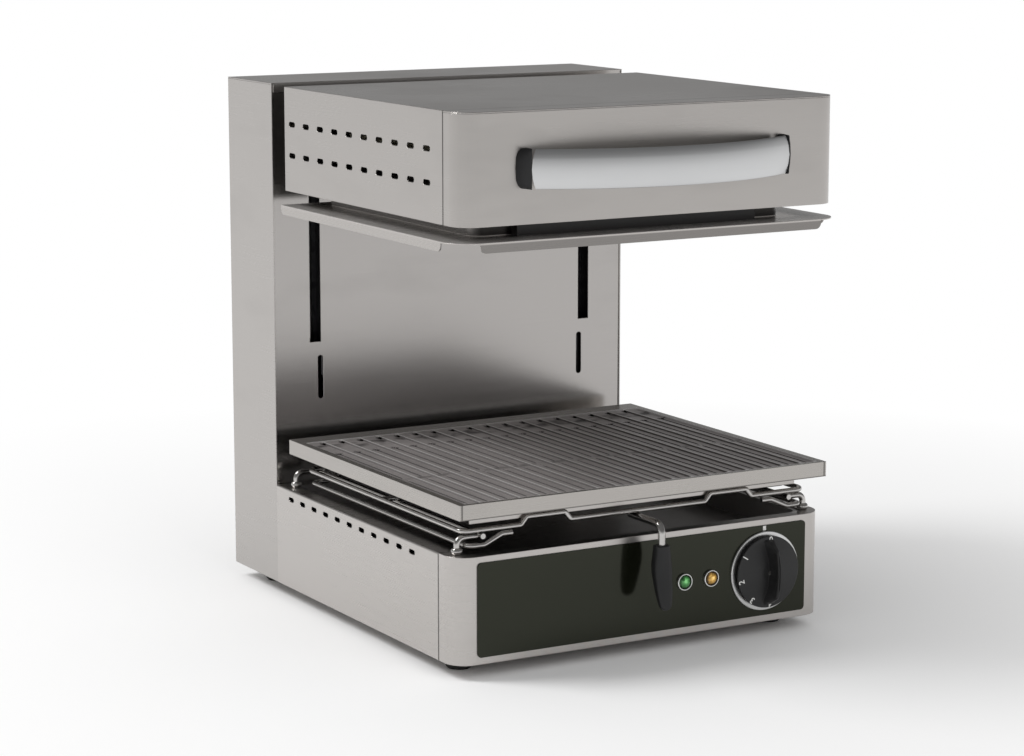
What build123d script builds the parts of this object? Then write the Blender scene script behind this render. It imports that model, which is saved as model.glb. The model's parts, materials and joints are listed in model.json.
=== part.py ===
from build123d import *
import os
from math import asin, cos, degrees, radians, sin

os.makedirs("parts", exist_ok=True)

# Rise-and-fall grill. Millimetres, Z up, the front faces -Y.
# The origin is the middle of the bounding box at the level the feet stand on.

# ---------------------------------------------------------------- driving dimensions
width = 400.0              # casing width, base, column and head
sheet = 1.2                # stainless sheet
column_depth = 101.0
column_height = 496.8
base_depth = 369.0         # base in front of the column
base_height = 99.2
foot_height = 14.0
base_corner = 21.0         # outer radius of the base's front corners
cover_return = 31.0        # how far the front covers reach back round the corners
side_flange = 14.0         # top flange of the base, at the sides
front_flange = 12.0        # top flange of the base, at the front

head_height = 100.2
head_drop = 1.6            # the head's top lies this far under the column's top
head_gap = 29.4            # between the head's back and the column's front
head_overhang = 11.5       # the head's front stands this far ahead of the base
head_corner = 20.4

handle_reach = 51.5        # front of the bowed bar ahead of the head
gland_reach = 12.0         # cable gland behind the column

rest_gap = 0.3             # between loose pieces that lie on each other
slide_gap = 0.3            # between sliding pieces
turn_gap = 0.05            # radial, round a turning or sliding round piece

# ---------------------------------------------------------------- main levels
half = width / 2
inner_half = half - sheet
overall_depth = gland_reach + column_depth + base_depth + head_overhang + handle_reach
column_back = overall_depth / 2 - gland_reach
column_front = column_back - column_depth
base_front = column_front - base_depth
head_front = base_front - head_overhang
head_back = column_front - head_gap
base_bottom = foot_height
base_top = base_bottom + base_height
column_top = base_bottom + column_height
head_top = column_top - head_drop
head_bottom = head_top - head_height


def front_rounded(half_width, front, back, radius, mode=Mode.ADD):
    # a rectangle seen from above, with its two front corners rounded
    with BuildLine() as outline:
        Polyline(
            (half_width, front + radius),
            (half_width, back),
            (-half_width, back),
            (-half_width, front + radius),
        )
        CenterArc((-half_width + radius, front + radius), radius, 180, 90)
        Line((-half_width + radius, front), (half_width - radius, front))
        CenterArc((half_width - radius, front + radius), radius, 270, 90)
    make_face(outline.edges(), mode=mode)


def front_window(center_x, center_z, wide, high, mode=Mode.ADD):
    # an upright rectangle, seen from the front
    with Locations((center_x, center_z)):
        Rectangle(wide, high, mode=mode)


# ---------------------------------------------------------------- bottom plate and feet
foot_diameter = 25.0
foot_inset_x = 30.0
foot_inset_front = 48.0
foot_inset_back = 38.0
floor_vent_length = 40.0
floor_vent_width = 5.0
floor_vent_pitch = 12.0

plate_front = base_front + sheet
plate_back = column_back - sheet
foot_spots = [
    (x, y)
    for x in (-half + foot_inset_x, half - foot_inset_x)
    for y in (base_front + foot_inset_front, column_back - foot_inset_back)
]

with BuildPart() as bottom_plate:
    with BuildSketch(Plane.XY.offset(base_bottom)):
        front_rounded(inner_half, plate_front, plate_back, base_corner - sheet)
        with Locations((0, (base_front + column_front) / 2)):
            with GridLocations(4 * floor_vent_pitch + floor_vent_length, floor_vent_pitch, 2, 6):
                SlotOverall(floor_vent_length, floor_vent_width, mode=Mode.SUBTRACT)
    extrude(amount=sheet)
bottom_plate.part.label = "bottom_plate"
export_step(bottom_plate.part, "parts/bottom_plate.step")

foot_chamfer = 2.0
with BuildPart() as rubber_feet:
    with BuildSketch():
        with Locations(*foot_spots):
            Circle(foot_diameter / 2)
    extrude(amount=foot_height)
    chamfer(rubber_feet.edges().group_by(Axis.Z)[0], foot_chamfer)
rubber_feet.part.label = "rubber_feet"
export_step(rubber_feet.part, "parts/rubber_feet.step")

# ---------------------------------------------------------------- base sides
bend_radius = 1.8
base_vent_count = 11
base_vent_pitch = 25.4
base_vent_length = 11.5
base_vent_height = 4.5
base_vent_drop = 9.4       # slot centre below the base's top
base_vent_start = 33.0     # last slot's centre ahead of the column
base_seam = base_front + cover_return
seam_gap = 0.8
base_vent_middle = column_front - base_vent_start - base_vent_pitch * (base_vent_count - 1) / 2

for side, hand in ((-1, "left"), (1, "right")):
    with BuildPart() as base_side:
        with BuildSketch(Plane.XZ.offset(-column_front)):
            with BuildLine():
                Polyline(
                    (side * half, base_bottom),
                    (side * half, base_top),
                    (side * (half - side_flange), base_top),
                    (side * (half - side_flange), base_top - sheet),
                    (side * inner_half, base_top - sheet),
                    (side * inner_half, base_bottom),
                    close=True,
                )
            bent = make_face()
            fillet(bent.vertices().sort_by_distance((side * half, base_top))[0], bend_radius)
        extrude(amount=column_front - base_seam - seam_gap)
        with BuildSketch(Plane.YZ.offset(side * half)):
            with Locations((base_vent_middle, base_top - base_vent_drop)):
                with GridLocations(base_vent_pitch, 1, base_vent_count, 1):
                    SlotOverall(base_vent_length, base_vent_height)
        extrude(amount=-side * 2 * sheet, mode=Mode.SUBTRACT)
    base_side.part.label = f"base_side_{hand}"
    export_step(base_side.part, f"parts/base_side_{hand}.step")

# ---------------------------------------------------------------- control positions
panel_margin = 22.25       # from the casing's side to the panel's end
panel_width = width - 2 * panel_margin
panel_height = 87.0
panel_corner = 4.0
panel_thickness = 1.0
panel_rise = 50.0          # panel centre above the base's bottom
panel_z = base_bottom + panel_rise
knob_inset = 69.0          # knob's centre from the casing's side
lamp_gap = 60.2            # amber lamp left of the knob
lamp_pitch = 29.4
knob_x = half - knob_inset
lamp_amber_x = knob_x - lamp_gap
lamp_green_x = lamp_amber_x - lamp_pitch
lamp_hole = 12.0
lamp_body_diameter = 11.0
bush_diameter = 10.0
panel_face = base_front - panel_thickness
lamp_spots = [(lamp_green_x, panel_z), (lamp_amber_x, panel_z)]


def control_holes():
    # the lamp holes and the regulator's bush hole, seen from the front
    with Locations(*lamp_spots):
        Circle(lamp_hole / 2)
    with Locations((knob_x, panel_z)):
        Circle(bush_diameter / 2)


with BuildPart() as base_front_cover:
    with BuildSketch(Plane.XY.offset(base_bottom)):
        front_rounded(half, base_front, base_seam, base_corner)
        front_rounded(inner_half, base_front + sheet, base_seam + sheet,
                      base_corner - sheet, Mode.SUBTRACT)
    extrude(amount=base_height)
    with BuildSketch(Plane.XY.offset(base_top - sheet)):
        front_rounded(inner_half, base_front + sheet, base_seam, base_corner - sheet)
        front_rounded(half - side_flange, base_front + front_flange, base_seam + sheet,
                      base_corner - front_flange, Mode.SUBTRACT)
    extrude(amount=sheet)
    with BuildSketch(Plane.XZ.offset(-base_front)):
        control_holes()
    extrude(amount=-2 * sheet, mode=Mode.SUBTRACT)
base_front_cover.part.label = "base_front_cover"
export_step(base_front_cover.part, "parts/base_front_cover.step")

with BuildPart() as control_panel:
    with BuildSketch(Plane.XZ.offset(-base_front)):
        with Locations((0, panel_z)):
            RectangleRounded(panel_width, panel_height, panel_corner)
    extrude(amount=panel_thickness)
    with BuildSketch(Plane.XZ.offset(-base_front)):
        control_holes()
    extrude(amount=panel_thickness, mode=Mode.SUBTRACT)
control_panel.part.label = "control_panel"
export_step(control_panel.part, "parts/control_panel.step")

# ---------------------------------------------------------------- recessed well of the base
well_depth = 24.0
well_inset_side = 18.0     # wall of the well from the casing side
well_inset_front = 15.0
well_inset_back = 10.0
well_corner = 12.0
panel_inset = sheet        # the column's front panel lies this far behind its side edges
rim_top = base_top - sheet
well_floor = base_top - well_depth
column_panel_face = column_front + panel_inset

with BuildPart() as base_well:
    with BuildSketch(Plane.XY.offset(rim_top - sheet)):
        front_rounded(inner_half, base_front + sheet, column_panel_face, base_corner - sheet)
    extrude(amount=sheet)
    with BuildSketch(Plane.XY.offset(well_floor - sheet)):
        front_rounded(half - well_inset_side, base_front + well_inset_front,
                      column_front - well_inset_back, well_corner)
    extrude(amount=rim_top - well_floor)
    with BuildSketch(Plane.XY.offset(well_floor)):
        front_rounded(half - well_inset_side - sheet, base_front + well_inset_front + sheet,
                      column_front - well_inset_back - sheet, well_corner - sheet)
    extrude(amount=rim_top - well_floor, mode=Mode.SUBTRACT)
base_well.part.label = "base_well"
export_step(base_well.part, "parts/base_well.step")

# ---------------------------------------------------------------- column
shell_return = 14.0        # inward return behind the front panel
service_margin = 50.0      # from the casing's side to the service opening
service_width = width - 2 * service_margin
service_height = 200.0
service_rise = 130.0       # centre of the service opening above the base's bottom
service_overlap = 12.0
back_vent_count = 14
back_vent_pitch = 18.0
back_vent_length = 60.0
back_vent_width = 5.0
back_vent_drop = 70.0
shell_top = column_top - sheet
service_z = base_bottom + service_rise

with BuildPart() as column_shell:
    with BuildSketch(Plane.XY.offset(base_bottom)):
        with Locations((0, (column_front + column_back) / 2)):
            Rectangle(width, column_depth)
        with Locations((0, (column_front + column_back) / 2 - sheet)):
            Rectangle(2 * inner_half, column_depth, mode=Mode.SUBTRACT)
    extrude(amount=column_height - sheet)
    with BuildSketch(Plane.XY.offset(base_bottom + sheet)):
        with Locations((0, column_panel_face + sheet + sheet / 2)):
            with GridLocations(2 * (inner_half - shell_return / 2), 1, 2, 1):
                Rectangle(shell_return, sheet)
    extrude(amount=column_height - 2 * sheet)
    with BuildSketch(Plane.XZ.offset(-column_back)):
        front_window(0, service_z, service_width, service_height)
        with Locations((0, column_top - back_vent_drop)):
            with GridLocations(back_vent_pitch, 1, back_vent_count, 1):
                SlotOverall(back_vent_length, back_vent_width, rotation=90)
    extrude(amount=sheet, mode=Mode.SUBTRACT)
column_shell.part.label = "column_shell"
export_step(column_shell.part, "parts/column_shell.step")

cap_lip = 8.0
cap_notch = 1.0
with BuildPart() as column_top_cap:
    with BuildSketch(Plane.XY.offset(shell_top)):
        with Locations((0, (column_front + column_back) / 2)):
            Rectangle(width, column_depth)
    extrude(amount=sheet)
    with BuildSketch(Plane.XY.offset(shell_top - cap_lip)):
        with Locations((0, column_front + sheet / 2)):
            Rectangle(2 * (inner_half - cap_notch), sheet)
    extrude(amount=cap_lip)
column_top_cap.part.label = "column_top_cap"
export_step(column_top_cap.part, "parts/column_top_cap.step")

arm_slot_inset = 45.0      # slot's centre from the casing's side
arm_slot_x = half - arm_slot_inset
arm_slot_width = 12.5
arm_thickness = 10.0
head_travel = 160.0
arm_low = 5.0              # arm's lower edge above the head's bottom
arm_high = 15.0            # arm's upper edge below the head's top
arm_slot_margin = 1.0
lower_slot_shift = 5.3     # lower slots nearer the middle than the arm slots
lower_slot_x = arm_slot_x - lower_slot_shift
lower_slot_width = 6.0
lower_slot_bottom = 181.5
lower_slot_length = 43.5
wire_window_width = 90.0
wire_window_height = 45.0
arm_bottom = head_bottom + arm_low
arm_top = head_top - arm_high
arm_slot_bottom = arm_bottom - head_travel - arm_slot_margin
arm_slot_top = arm_top + arm_slot_margin
front_panel_bottom = base_bottom + sheet

with BuildPart() as column_front_panel:
    with BuildSketch(Plane.XZ.offset(-column_panel_face)):
        front_window(0, (front_panel_bottom + shell_top) / 2, 2 * inner_half,
                     shell_top - front_panel_bottom)
        for slot_side in (-1, 1):
            front_window(slot_side * arm_slot_x, (arm_slot_bottom + arm_slot_top) / 2,
                         arm_slot_width, arm_slot_top - arm_slot_bottom, Mode.SUBTRACT)
            with Locations((slot_side * lower_slot_x,
                            base_bottom + lower_slot_bottom + lower_slot_length / 2)):
                SlotOverall(lower_slot_length, lower_slot_width, rotation=90, mode=Mode.SUBTRACT)
        front_window(0, front_panel_bottom + wire_window_height / 2, wire_window_width,
                     wire_window_height, Mode.SUBTRACT)
    extrude(amount=-sheet)
column_front_panel.part.label = "column_front_panel"
export_step(column_front_panel.part, "parts/column_front_panel.step")

gland_inset = 105.0        # gland's centre from the casing's side
gland_rise = 62.0
gland_hole = 16.0
gland_x = half - gland_inset
gland_z = base_bottom + gland_rise
with BuildPart() as service_cover:
    with BuildSketch(Plane.XZ.offset(-column_back)):
        with Locations((0, service_z)):
            RectangleRounded(service_width + 2 * service_overlap,
                             service_height + 2 * service_overlap, service_overlap / 2)
    extrude(amount=-sheet)
    with BuildSketch(Plane.XZ.offset(-column_back)):
        with Locations((gland_x, gland_z)):
            Circle(gland_hole / 2)
    extrude(amount=-sheet, mode=Mode.SUBTRACT)
service_cover.part.label = "service_cover"
export_step(service_cover.part, "parts/service_cover.step")

screw_head = 7.0
screw_head_height = 2.4
screw_head_round = 1.0
cover_back = column_back + sheet
with BuildPart() as service_screws:
    with BuildSketch(Plane.XZ.offset(-cover_back)):
        with Locations((0, service_z)):
            with GridLocations((service_width + service_overlap) / 2,
                               service_height + service_overlap, 3, 2):
                Circle(screw_head / 2)
    extrude(amount=-screw_head_height)
    fillet(service_screws.edges().group_by(Axis.Y)[-1], screw_head_round)
service_screws.part.label = "service_screws"
export_step(service_screws.part, "parts/service_screws.step")

# cable gland: a hexagon flange and a round nose outside, a threaded stub inside
gland_flange = 24.0
gland_flange_thickness = 5.0
gland_stub = 10.0
gland_bore = 9.0
gland_nose_diameter = 19.0
gland_nose_taper = 12.0
gland_nose_length = column_back + gland_reach - cover_back - gland_flange_thickness
with BuildPart() as cable_gland:
    with BuildSketch(Plane.XZ.offset(-cover_back)):
        with Locations((gland_x, gland_z)):
            RegularPolygon(gland_flange / 2, 6)
    extrude(amount=-gland_flange_thickness)
    with BuildSketch(Plane.XZ.offset(-cover_back - gland_flange_thickness)):
        with Locations((gland_x, gland_z)):
            Circle(gland_nose_diameter / 2)
    extrude(amount=-gland_nose_length, taper=gland_nose_taper)
    with BuildSketch(Plane.XZ.offset(-cover_back)):
        with Locations((gland_x, gland_z)):
            Circle(gland_hole / 2 - slide_gap)
    extrude(amount=gland_stub)
    with BuildSketch(Plane.XZ.offset(-column_back - gland_reach)):
        with Locations((gland_x, gland_z)):
            Circle(gland_bore / 2)
    extrude(amount=gland_reach + gland_stub, mode=Mode.SUBTRACT)
cable_gland.part.label = "cable_gland"
export_step(cable_gland.part, "parts/cable_gland.step")

# terminal block on the bottom plate, with its row of wire pockets
terminal_length = 62.0
terminal_depth = 22.0
terminal_height = 18.0
terminal_ways = 5
terminal_pocket = 8.0
inside_floor = base_bottom + sheet
with BuildPart() as terminal_block:
    with BuildSketch(Plane.XY.offset(inside_floor)):
        with Locations((gland_x, (column_front + column_back) / 2)):
            Rectangle(terminal_length, terminal_depth)
    extrude(amount=terminal_height)
    with BuildSketch(Plane.XY.offset(inside_floor + terminal_height)):
        with Locations((gland_x, (column_front + column_back) / 2)):
            with GridLocations(terminal_length / terminal_ways, 1, terminal_ways, 1):
                Circle(terminal_pocket / 2)
    extrude(amount=-terminal_height / 2, mode=Mode.SUBTRACT)
terminal_block.part.label = "terminal_block"
export_step(terminal_block.part, "parts/terminal_block.step")

# ---------------------------------------------------------------- guide channels and gas springs
channel_width = 34.0
channel_depth = 30.0
channel_wall = 2.0
channel_mouth = 14.0
channel_bottom = 205.0     # above the base's bottom
channel_top_drop = 12.0    # below the column's top
channel_front = column_panel_face + sheet
channel_z0 = base_bottom + channel_bottom
channel_z1 = column_top - channel_top_drop
channel_middle = channel_front + channel_depth / 2

spring_diameter = 18.0
spring_bore = 15.0
spring_top = 228.0         # above the base's bottom
spring_bore_bottom = 40.0
spring_neck = 6.0
rod_diameter = 8.0
spring_z1 = base_bottom + spring_top
spring_z0 = base_bottom + spring_bore_bottom
piston_length = 12.0
spring_break = 1.5

shoe_length = 70.0
shoe_groove = 3.0
shoe_groove_depth = 1.0
shoe_break = 1.0
shoe_front = channel_front + channel_wall + slide_gap
shoe_back = channel_front + channel_depth - channel_wall - slide_gap
shoe_width = channel_width - 2 * channel_wall - 2 * slide_gap
arm_corner = 12.0
arm_foot_width = 30.0
arm_foot_thickness = 3.0
arm_foot_corner = 3.0

for side, hand in ((-1, "left"), (1, "right")):
    with BuildPart() as guide_channel:
        with BuildSketch(Plane.XY.offset(channel_z0)):
            with Locations((side * arm_slot_x, channel_middle)):
                Rectangle(channel_width, channel_depth)
                Rectangle(channel_width - 2 * channel_wall, channel_depth - 2 * channel_wall,
                          mode=Mode.SUBTRACT)
            with Locations((side * arm_slot_x, channel_front + channel_wall / 2)):
                Rectangle(channel_mouth, channel_wall, mode=Mode.SUBTRACT)
        extrude(amount=channel_z1 - channel_z0)
    guide_channel.part.label = f"guide_channel_{hand}"
    export_step(guide_channel.part, f"parts/guide_channel_{hand}.step")

    with BuildPart() as gas_spring:
        with BuildSketch(Plane.XY.offset(inside_floor)):
            with Locations((side * arm_slot_x, channel_middle)):
                Circle(spring_diameter / 2)
        extrude(amount=spring_z1 - inside_floor)
        with BuildSketch(Plane.XY.offset(spring_z0)):
            with Locations((side * arm_slot_x, channel_middle)):
                Circle(spring_bore / 2)
        extrude(amount=spring_z1 - spring_neck - spring_z0, mode=Mode.SUBTRACT)
        with BuildSketch(Plane.XY.offset(spring_z1)):
            with Locations((side * arm_slot_x, channel_middle)):
                Circle(rod_diameter / 2 + turn_gap)
        extrude(amount=-spring_neck, mode=Mode.SUBTRACT)
        chamfer(gas_spring.edges().group_by(Axis.Z)[-1].sort_by(SortBy.LENGTH)[-1],
                spring_break)
    gas_spring.part.label = f"gas_spring_{hand}"
    export_step(gas_spring.part, f"parts/gas_spring_{hand}.step")

    # the rod hangs under the shoe, with its piston inside the cylinder
    with BuildPart() as spring_rod:
        with BuildSketch(Plane.XY.offset(arm_bottom)):
            with Locations((side * arm_slot_x, channel_middle)):
                Circle(rod_diameter / 2)
        extrude(amount=-(arm_bottom - spring_z1 + spring_neck + piston_length))
        with BuildSketch(Plane.XY.offset(spring_z1 - spring_neck - piston_length)):
            with Locations((side * arm_slot_x, channel_middle)):
                Circle(spring_bore / 2 - turn_gap)
        extrude(amount=piston_length / 2)
    spring_rod.part.label = f"spring_rod_{hand}"
    export_step(spring_rod.part, f"parts/spring_rod_{hand}.step")

    with BuildPart() as glide_shoe:
        with BuildSketch(Plane.XY.offset(arm_bottom)):
            with Locations((side * arm_slot_x, (shoe_front + shoe_back) / 2)):
                Rectangle(shoe_width, shoe_back - shoe_front)
        extrude(amount=shoe_length)
        chamfer(glide_shoe.edges().filter_by(Axis.Z), shoe_break)
        with BuildSketch(Plane.XZ.offset(-shoe_back)):
            with Locations((side * arm_slot_x, arm_bottom + shoe_length / 2)):
                with GridLocations(1, shoe_length / 3, 1, 3):
                    Rectangle(shoe_width, shoe_groove)
        extrude(amount=shoe_groove_depth, mode=Mode.SUBTRACT)
    glide_shoe.part.label = f"glide_shoe_{hand}"
    export_step(glide_shoe.part, f"parts/glide_shoe_{hand}.step")

    # the arm runs from the head's back through the slot to the shoe
    with BuildPart() as support_arm:
        with BuildSketch(Plane.YZ.offset(side * arm_slot_x - arm_thickness / 2)):
            with Locations(((head_back + shoe_front) / 2, (arm_bottom + arm_top) / 2)):
                arm_face = Rectangle(shoe_front - head_back, arm_top - arm_bottom)
            fillet(arm_face.vertices().group_by(Axis.X)[-1], arm_corner)
        extrude(amount=arm_thickness)
        # bolting foot against the head's back panel
        with BuildSketch(Plane.XZ.offset(-head_back)):
            with Locations((side * arm_slot_x, (arm_bottom + arm_top) / 2)):
                RectangleRounded(arm_foot_width, arm_top - arm_bottom, arm_foot_corner)
        extrude(amount=-arm_foot_thickness)
    support_arm.part.label = f"support_arm_{hand}"
    export_step(support_arm.part, f"parts/support_arm_{hand}.step")

# ---------------------------------------------------------------- head casing
head_seam = head_front + cover_return
head_vent_count = 10
head_vent_pitch = 30.4
head_vent_length = 13.5
head_vent_height = 5.0
head_vent_low = 35.0       # lower row above the head's bottom
head_vent_rows = 30.0      # between the rows
head_vent_start = 16.1     # rearmost slot ahead of the head's back
head_vent_middle = head_back - head_vent_start - head_vent_pitch * (head_vent_count - 1) / 2

with BuildPart() as head_casing:
    with BuildSketch(Plane.XY.offset(head_top - sheet)):
        front_rounded(half, head_front, head_back, head_corner)
    extrude(amount=sheet)
    with BuildSketch(Plane.XY.offset(head_bottom)):
        with Locations((0, (head_seam + seam_gap + head_back) / 2)):
            with GridLocations(width - sheet, 1, 2, 1):
                Rectangle(sheet, head_back - head_seam - seam_gap)
    extrude(amount=head_height - sheet)
    with BuildSketch(Plane.YZ.offset(-half)):
        with Locations((head_vent_middle, head_bottom + head_vent_low + head_vent_rows / 2)):
            with GridLocations(head_vent_pitch, head_vent_rows, head_vent_count, 2):
                SlotOverall(head_vent_length, head_vent_height)
    extrude(amount=width, mode=Mode.SUBTRACT)
head_casing.part.label = "head_casing"
export_step(head_casing.part, "parts/head_casing.step")

with BuildPart() as head_front_cover:
    with BuildSketch(Plane.XY.offset(head_bottom)):
        front_rounded(half, head_front, head_seam, head_corner)
        front_rounded(inner_half, head_front + sheet, head_seam + sheet,
                      head_corner - sheet, Mode.SUBTRACT)
    extrude(amount=head_height - sheet)
head_front_cover.part.label = "head_front_cover"
export_step(head_front_cover.part, "parts/head_front_cover.step")

with BuildPart() as head_back_panel:
    with BuildSketch(Plane.XZ.offset(-head_back)):
        front_window(0, (head_bottom + head_top) / 2, 2 * inner_half, head_height - 2 * sheet)
    extrude(amount=sheet)
head_back_panel.part.label = "head_back_panel"
export_step(head_back_panel.part, "parts/head_back_panel.step")

# ---------------------------------------------------------------- heating recess
mouth_inset_side = 51.2
mouth_inset_front = 43.0
mouth_inset_back = 41.0
mouth_half = half - mouth_inset_side
mouth_front = head_front + mouth_inset_front
mouth_back = head_back - mouth_inset_back
mouth_corner = 10.0
reflector_height = 45.0
reflector_rim = 10.0
insulation_height = 20.0
base_plate_top = head_bottom + sheet
reflector_top = base_plate_top + reflector_height

with BuildPart() as head_base_plate:
    with BuildSketch(Plane.XY.offset(head_bottom)):
        front_rounded(inner_half, head_front + sheet, head_back, head_corner - sheet)
        front_rounded(mouth_half, mouth_front, mouth_back, mouth_corner, Mode.SUBTRACT)
    extrude(amount=sheet)
head_base_plate.part.label = "head_base_plate"
export_step(head_base_plate.part, "parts/head_base_plate.step")

element_count = 3
element_names = ("left", "middle", "right")
element_diameter = 8.5
element_leg_count = 4
element_leg_pitch = 24.0
element_margin = 1.8       # outer edge of the outer elements' shares inside the mouth
element_pitch = 2 * (mouth_half - element_margin) / element_count
element_front_gap = 14.0
element_back_gap = 16.0
element_tail = 16.0        # straight ends behind the reflector
element_rise = 12.0        # tube centre above the head's bottom
element_hole_gap = 0.4
element_straight = 0.2     # half of the straight run between two bends
element_z = head_bottom + element_rise
element_legs = [
    (leg - (element_leg_count - 1) / 2) * element_leg_pitch for leg in range(element_leg_count)
]
element_spots = [(index - (element_count - 1) / 2) * element_pitch for index in range(element_count)]

with BuildPart() as reflector_pan:
    with BuildSketch(Plane.XY.offset(base_plate_top)):
        front_rounded(mouth_half + reflector_rim, mouth_front - reflector_rim,
                      mouth_back + reflector_rim, mouth_corner)
    extrude(amount=sheet)
    with BuildSketch(Plane.XY.offset(base_plate_top)):
        front_rounded(mouth_half + sheet, mouth_front - sheet, mouth_back + sheet,
                      mouth_corner + sheet)
    extrude(amount=reflector_height)
    with BuildSketch(Plane.XY.offset(base_plate_top)):
        front_rounded(mouth_half, mouth_front, mouth_back, mouth_corner)
    extrude(amount=reflector_height - sheet, mode=Mode.SUBTRACT)
    with BuildSketch(Plane.XZ.offset(-mouth_back - 2 * sheet)):
        for spot in element_spots:
            with Locations((spot + element_legs[0], element_z), (spot + element_legs[3], element_z)):
                Circle(element_diameter / 2 + element_hole_gap)
    extrude(amount=3 * sheet, mode=Mode.SUBTRACT)
reflector_pan.part.label = "reflector_pan"
export_step(reflector_pan.part, "parts/reflector_pan.step")

with BuildPart() as head_insulation:
    with BuildSketch(Plane.XY.offset(reflector_top)):
        front_rounded(mouth_half + sheet, mouth_front - sheet, mouth_back + sheet, mouth_corner)
    extrude(amount=insulation_height)
head_insulation.part.label = "head_insulation"
export_step(head_insulation.part, "parts/head_insulation.step")

# each element is one tube bent into four legs, with both ends out at the back
leg_front = mouth_front + element_front_gap
leg_back = mouth_back - element_back_gap
tail_back = mouth_back + element_tail
element_bend = element_leg_pitch / 2 - element_straight
for spot, name in zip(element_spots, element_names):
    with BuildPart() as element:
        with BuildLine():
            FilletPolyline(
                (spot + element_legs[0], tail_back, element_z),
                (spot + element_legs[0], leg_front, element_z),
                (spot + element_legs[1], leg_front, element_z),
                (spot + element_legs[1], leg_back, element_z),
                (spot + element_legs[2], leg_back, element_z),
                (spot + element_legs[2], leg_front, element_z),
                (spot + element_legs[3], leg_front, element_z),
                (spot + element_legs[3], tail_back, element_z),
                radius=element_bend,
            )
        with BuildSketch(Plane.XZ.offset(-tail_back)):
            with Locations((spot + element_legs[0], element_z)):
                Circle(element_diameter / 2)
        sweep()
    element.part.label = f"heating_element_{name}"
    export_step(element.part, f"parts/heating_element_{name}.step")

# two flat bars across the mouth carry the elements
clip_width = 10.0
clip_thickness = 2.0
clip_spread = 150.0
clip_top = element_z - element_diameter / 2 - slide_gap
with BuildPart() as element_clips:
    with BuildSketch(Plane.XY.offset(clip_top - clip_thickness)):
        with Locations((0, (mouth_front + mouth_back) / 2)):
            with GridLocations(1, clip_spread, 1, 2):
                Rectangle(2 * mouth_half, clip_width)
    extrude(amount=clip_thickness)
element_clips.part.label = "element_clips"
export_step(element_clips.part, "parts/element_clips.step")

# ---------------------------------------------------------------- heat skirt under the head
skirt_drop = 13.5          # flange's top below the head's bottom
skirt_overhang = 5.0       # beyond the head's sides
skirt_lead = 1.8           # ahead of the head's front
skirt_corner = 26.0
skirt_wall_inset_side = 35.0
skirt_wall_inset_front = 39.2
skirt_wall_inset_back = 29.0
skirt_wall_corner = 14.0
lip_height = 8.0
lip_round = 6.0
side_lip_inset = 27.0      # front end of the side lips behind the head's front
front_lip_inset = 19.0     # ends of the front lip inside the casing's sides
skirt_half = half + skirt_overhang
skirt_front = head_front - skirt_lead
skirt_wall_half = half - skirt_wall_inset_side
skirt_wall_front = head_front + skirt_wall_inset_front
skirt_wall_back = head_back - skirt_wall_inset_back
side_lip_front = head_front + side_lip_inset
front_lip_half = half - front_lip_inset
flange_top = head_bottom - skirt_drop
flange_bottom = flange_top - sheet

with BuildPart() as heat_skirt:
    with BuildSketch(Plane.XY.offset(flange_bottom)):
        front_rounded(skirt_half, skirt_front, head_back, skirt_corner)
        front_rounded(skirt_wall_half - sheet, skirt_wall_front + sheet, skirt_wall_back - sheet,
                      skirt_wall_corner - sheet, Mode.SUBTRACT)
    extrude(amount=sheet)
    with BuildSketch(Plane.XY.offset(flange_top)):
        front_rounded(skirt_wall_half, skirt_wall_front, skirt_wall_back, skirt_wall_corner)
        front_rounded(skirt_wall_half - sheet, skirt_wall_front + sheet, skirt_wall_back - sheet,
                      skirt_wall_corner - sheet, Mode.SUBTRACT)
    extrude(amount=skirt_drop)
    # turned-down lips at the two sides, with rounded ends
    for lip_plane in (Plane.YZ.offset(-skirt_half), Plane.YZ.offset(skirt_half - sheet)):
        with BuildSketch(lip_plane):
            with Locations(((side_lip_front + head_back) / 2, flange_bottom - lip_height / 2)):
                side_lip = Rectangle(head_back - side_lip_front, lip_height)
            fillet(side_lip.vertices().group_by(Axis.Y)[0], lip_round)
        extrude(amount=sheet)
    # turned-down lip at the front
    with BuildSketch(Plane.XZ.offset(-skirt_front)):
        with Locations((0, flange_bottom - lip_height / 2)):
            front_lip = Rectangle(2 * front_lip_half, lip_height)
        fillet(front_lip.vertices().group_by(Axis.Y)[0], lip_round)
    extrude(amount=-sheet)
heat_skirt.part.label = "heat_skirt"
export_step(heat_skirt.part, "parts/heat_skirt.step")

front_plate_inset = 73.0
front_plate_half = half - front_plate_inset
front_plate_thickness = 1.5
front_plate_advance = 9.0  # ahead of the skirt's wall
with BuildPart() as skirt_front_plate:
    with BuildSketch(Plane.XZ.offset(-(skirt_wall_front - front_plate_advance))):
        front_window(0, (flange_top + head_bottom) / 2, 2 * front_plate_half, skirt_drop)
    extrude(amount=front_plate_thickness)
    # folded tabs back to the skirt's wall
    with BuildSketch(Plane.XY.offset(flange_top)):
        with Locations((0, skirt_wall_front - front_plate_advance / 2)):
            with GridLocations(2 * front_plate_half - front_plate_thickness, 1, 2, 1):
                Rectangle(front_plate_thickness, front_plate_advance)
    extrude(amount=skirt_drop)
skirt_front_plate.part.label = "skirt_front_plate"
export_step(skirt_front_plate.part, "parts/skirt_front_plate.step")

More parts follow.
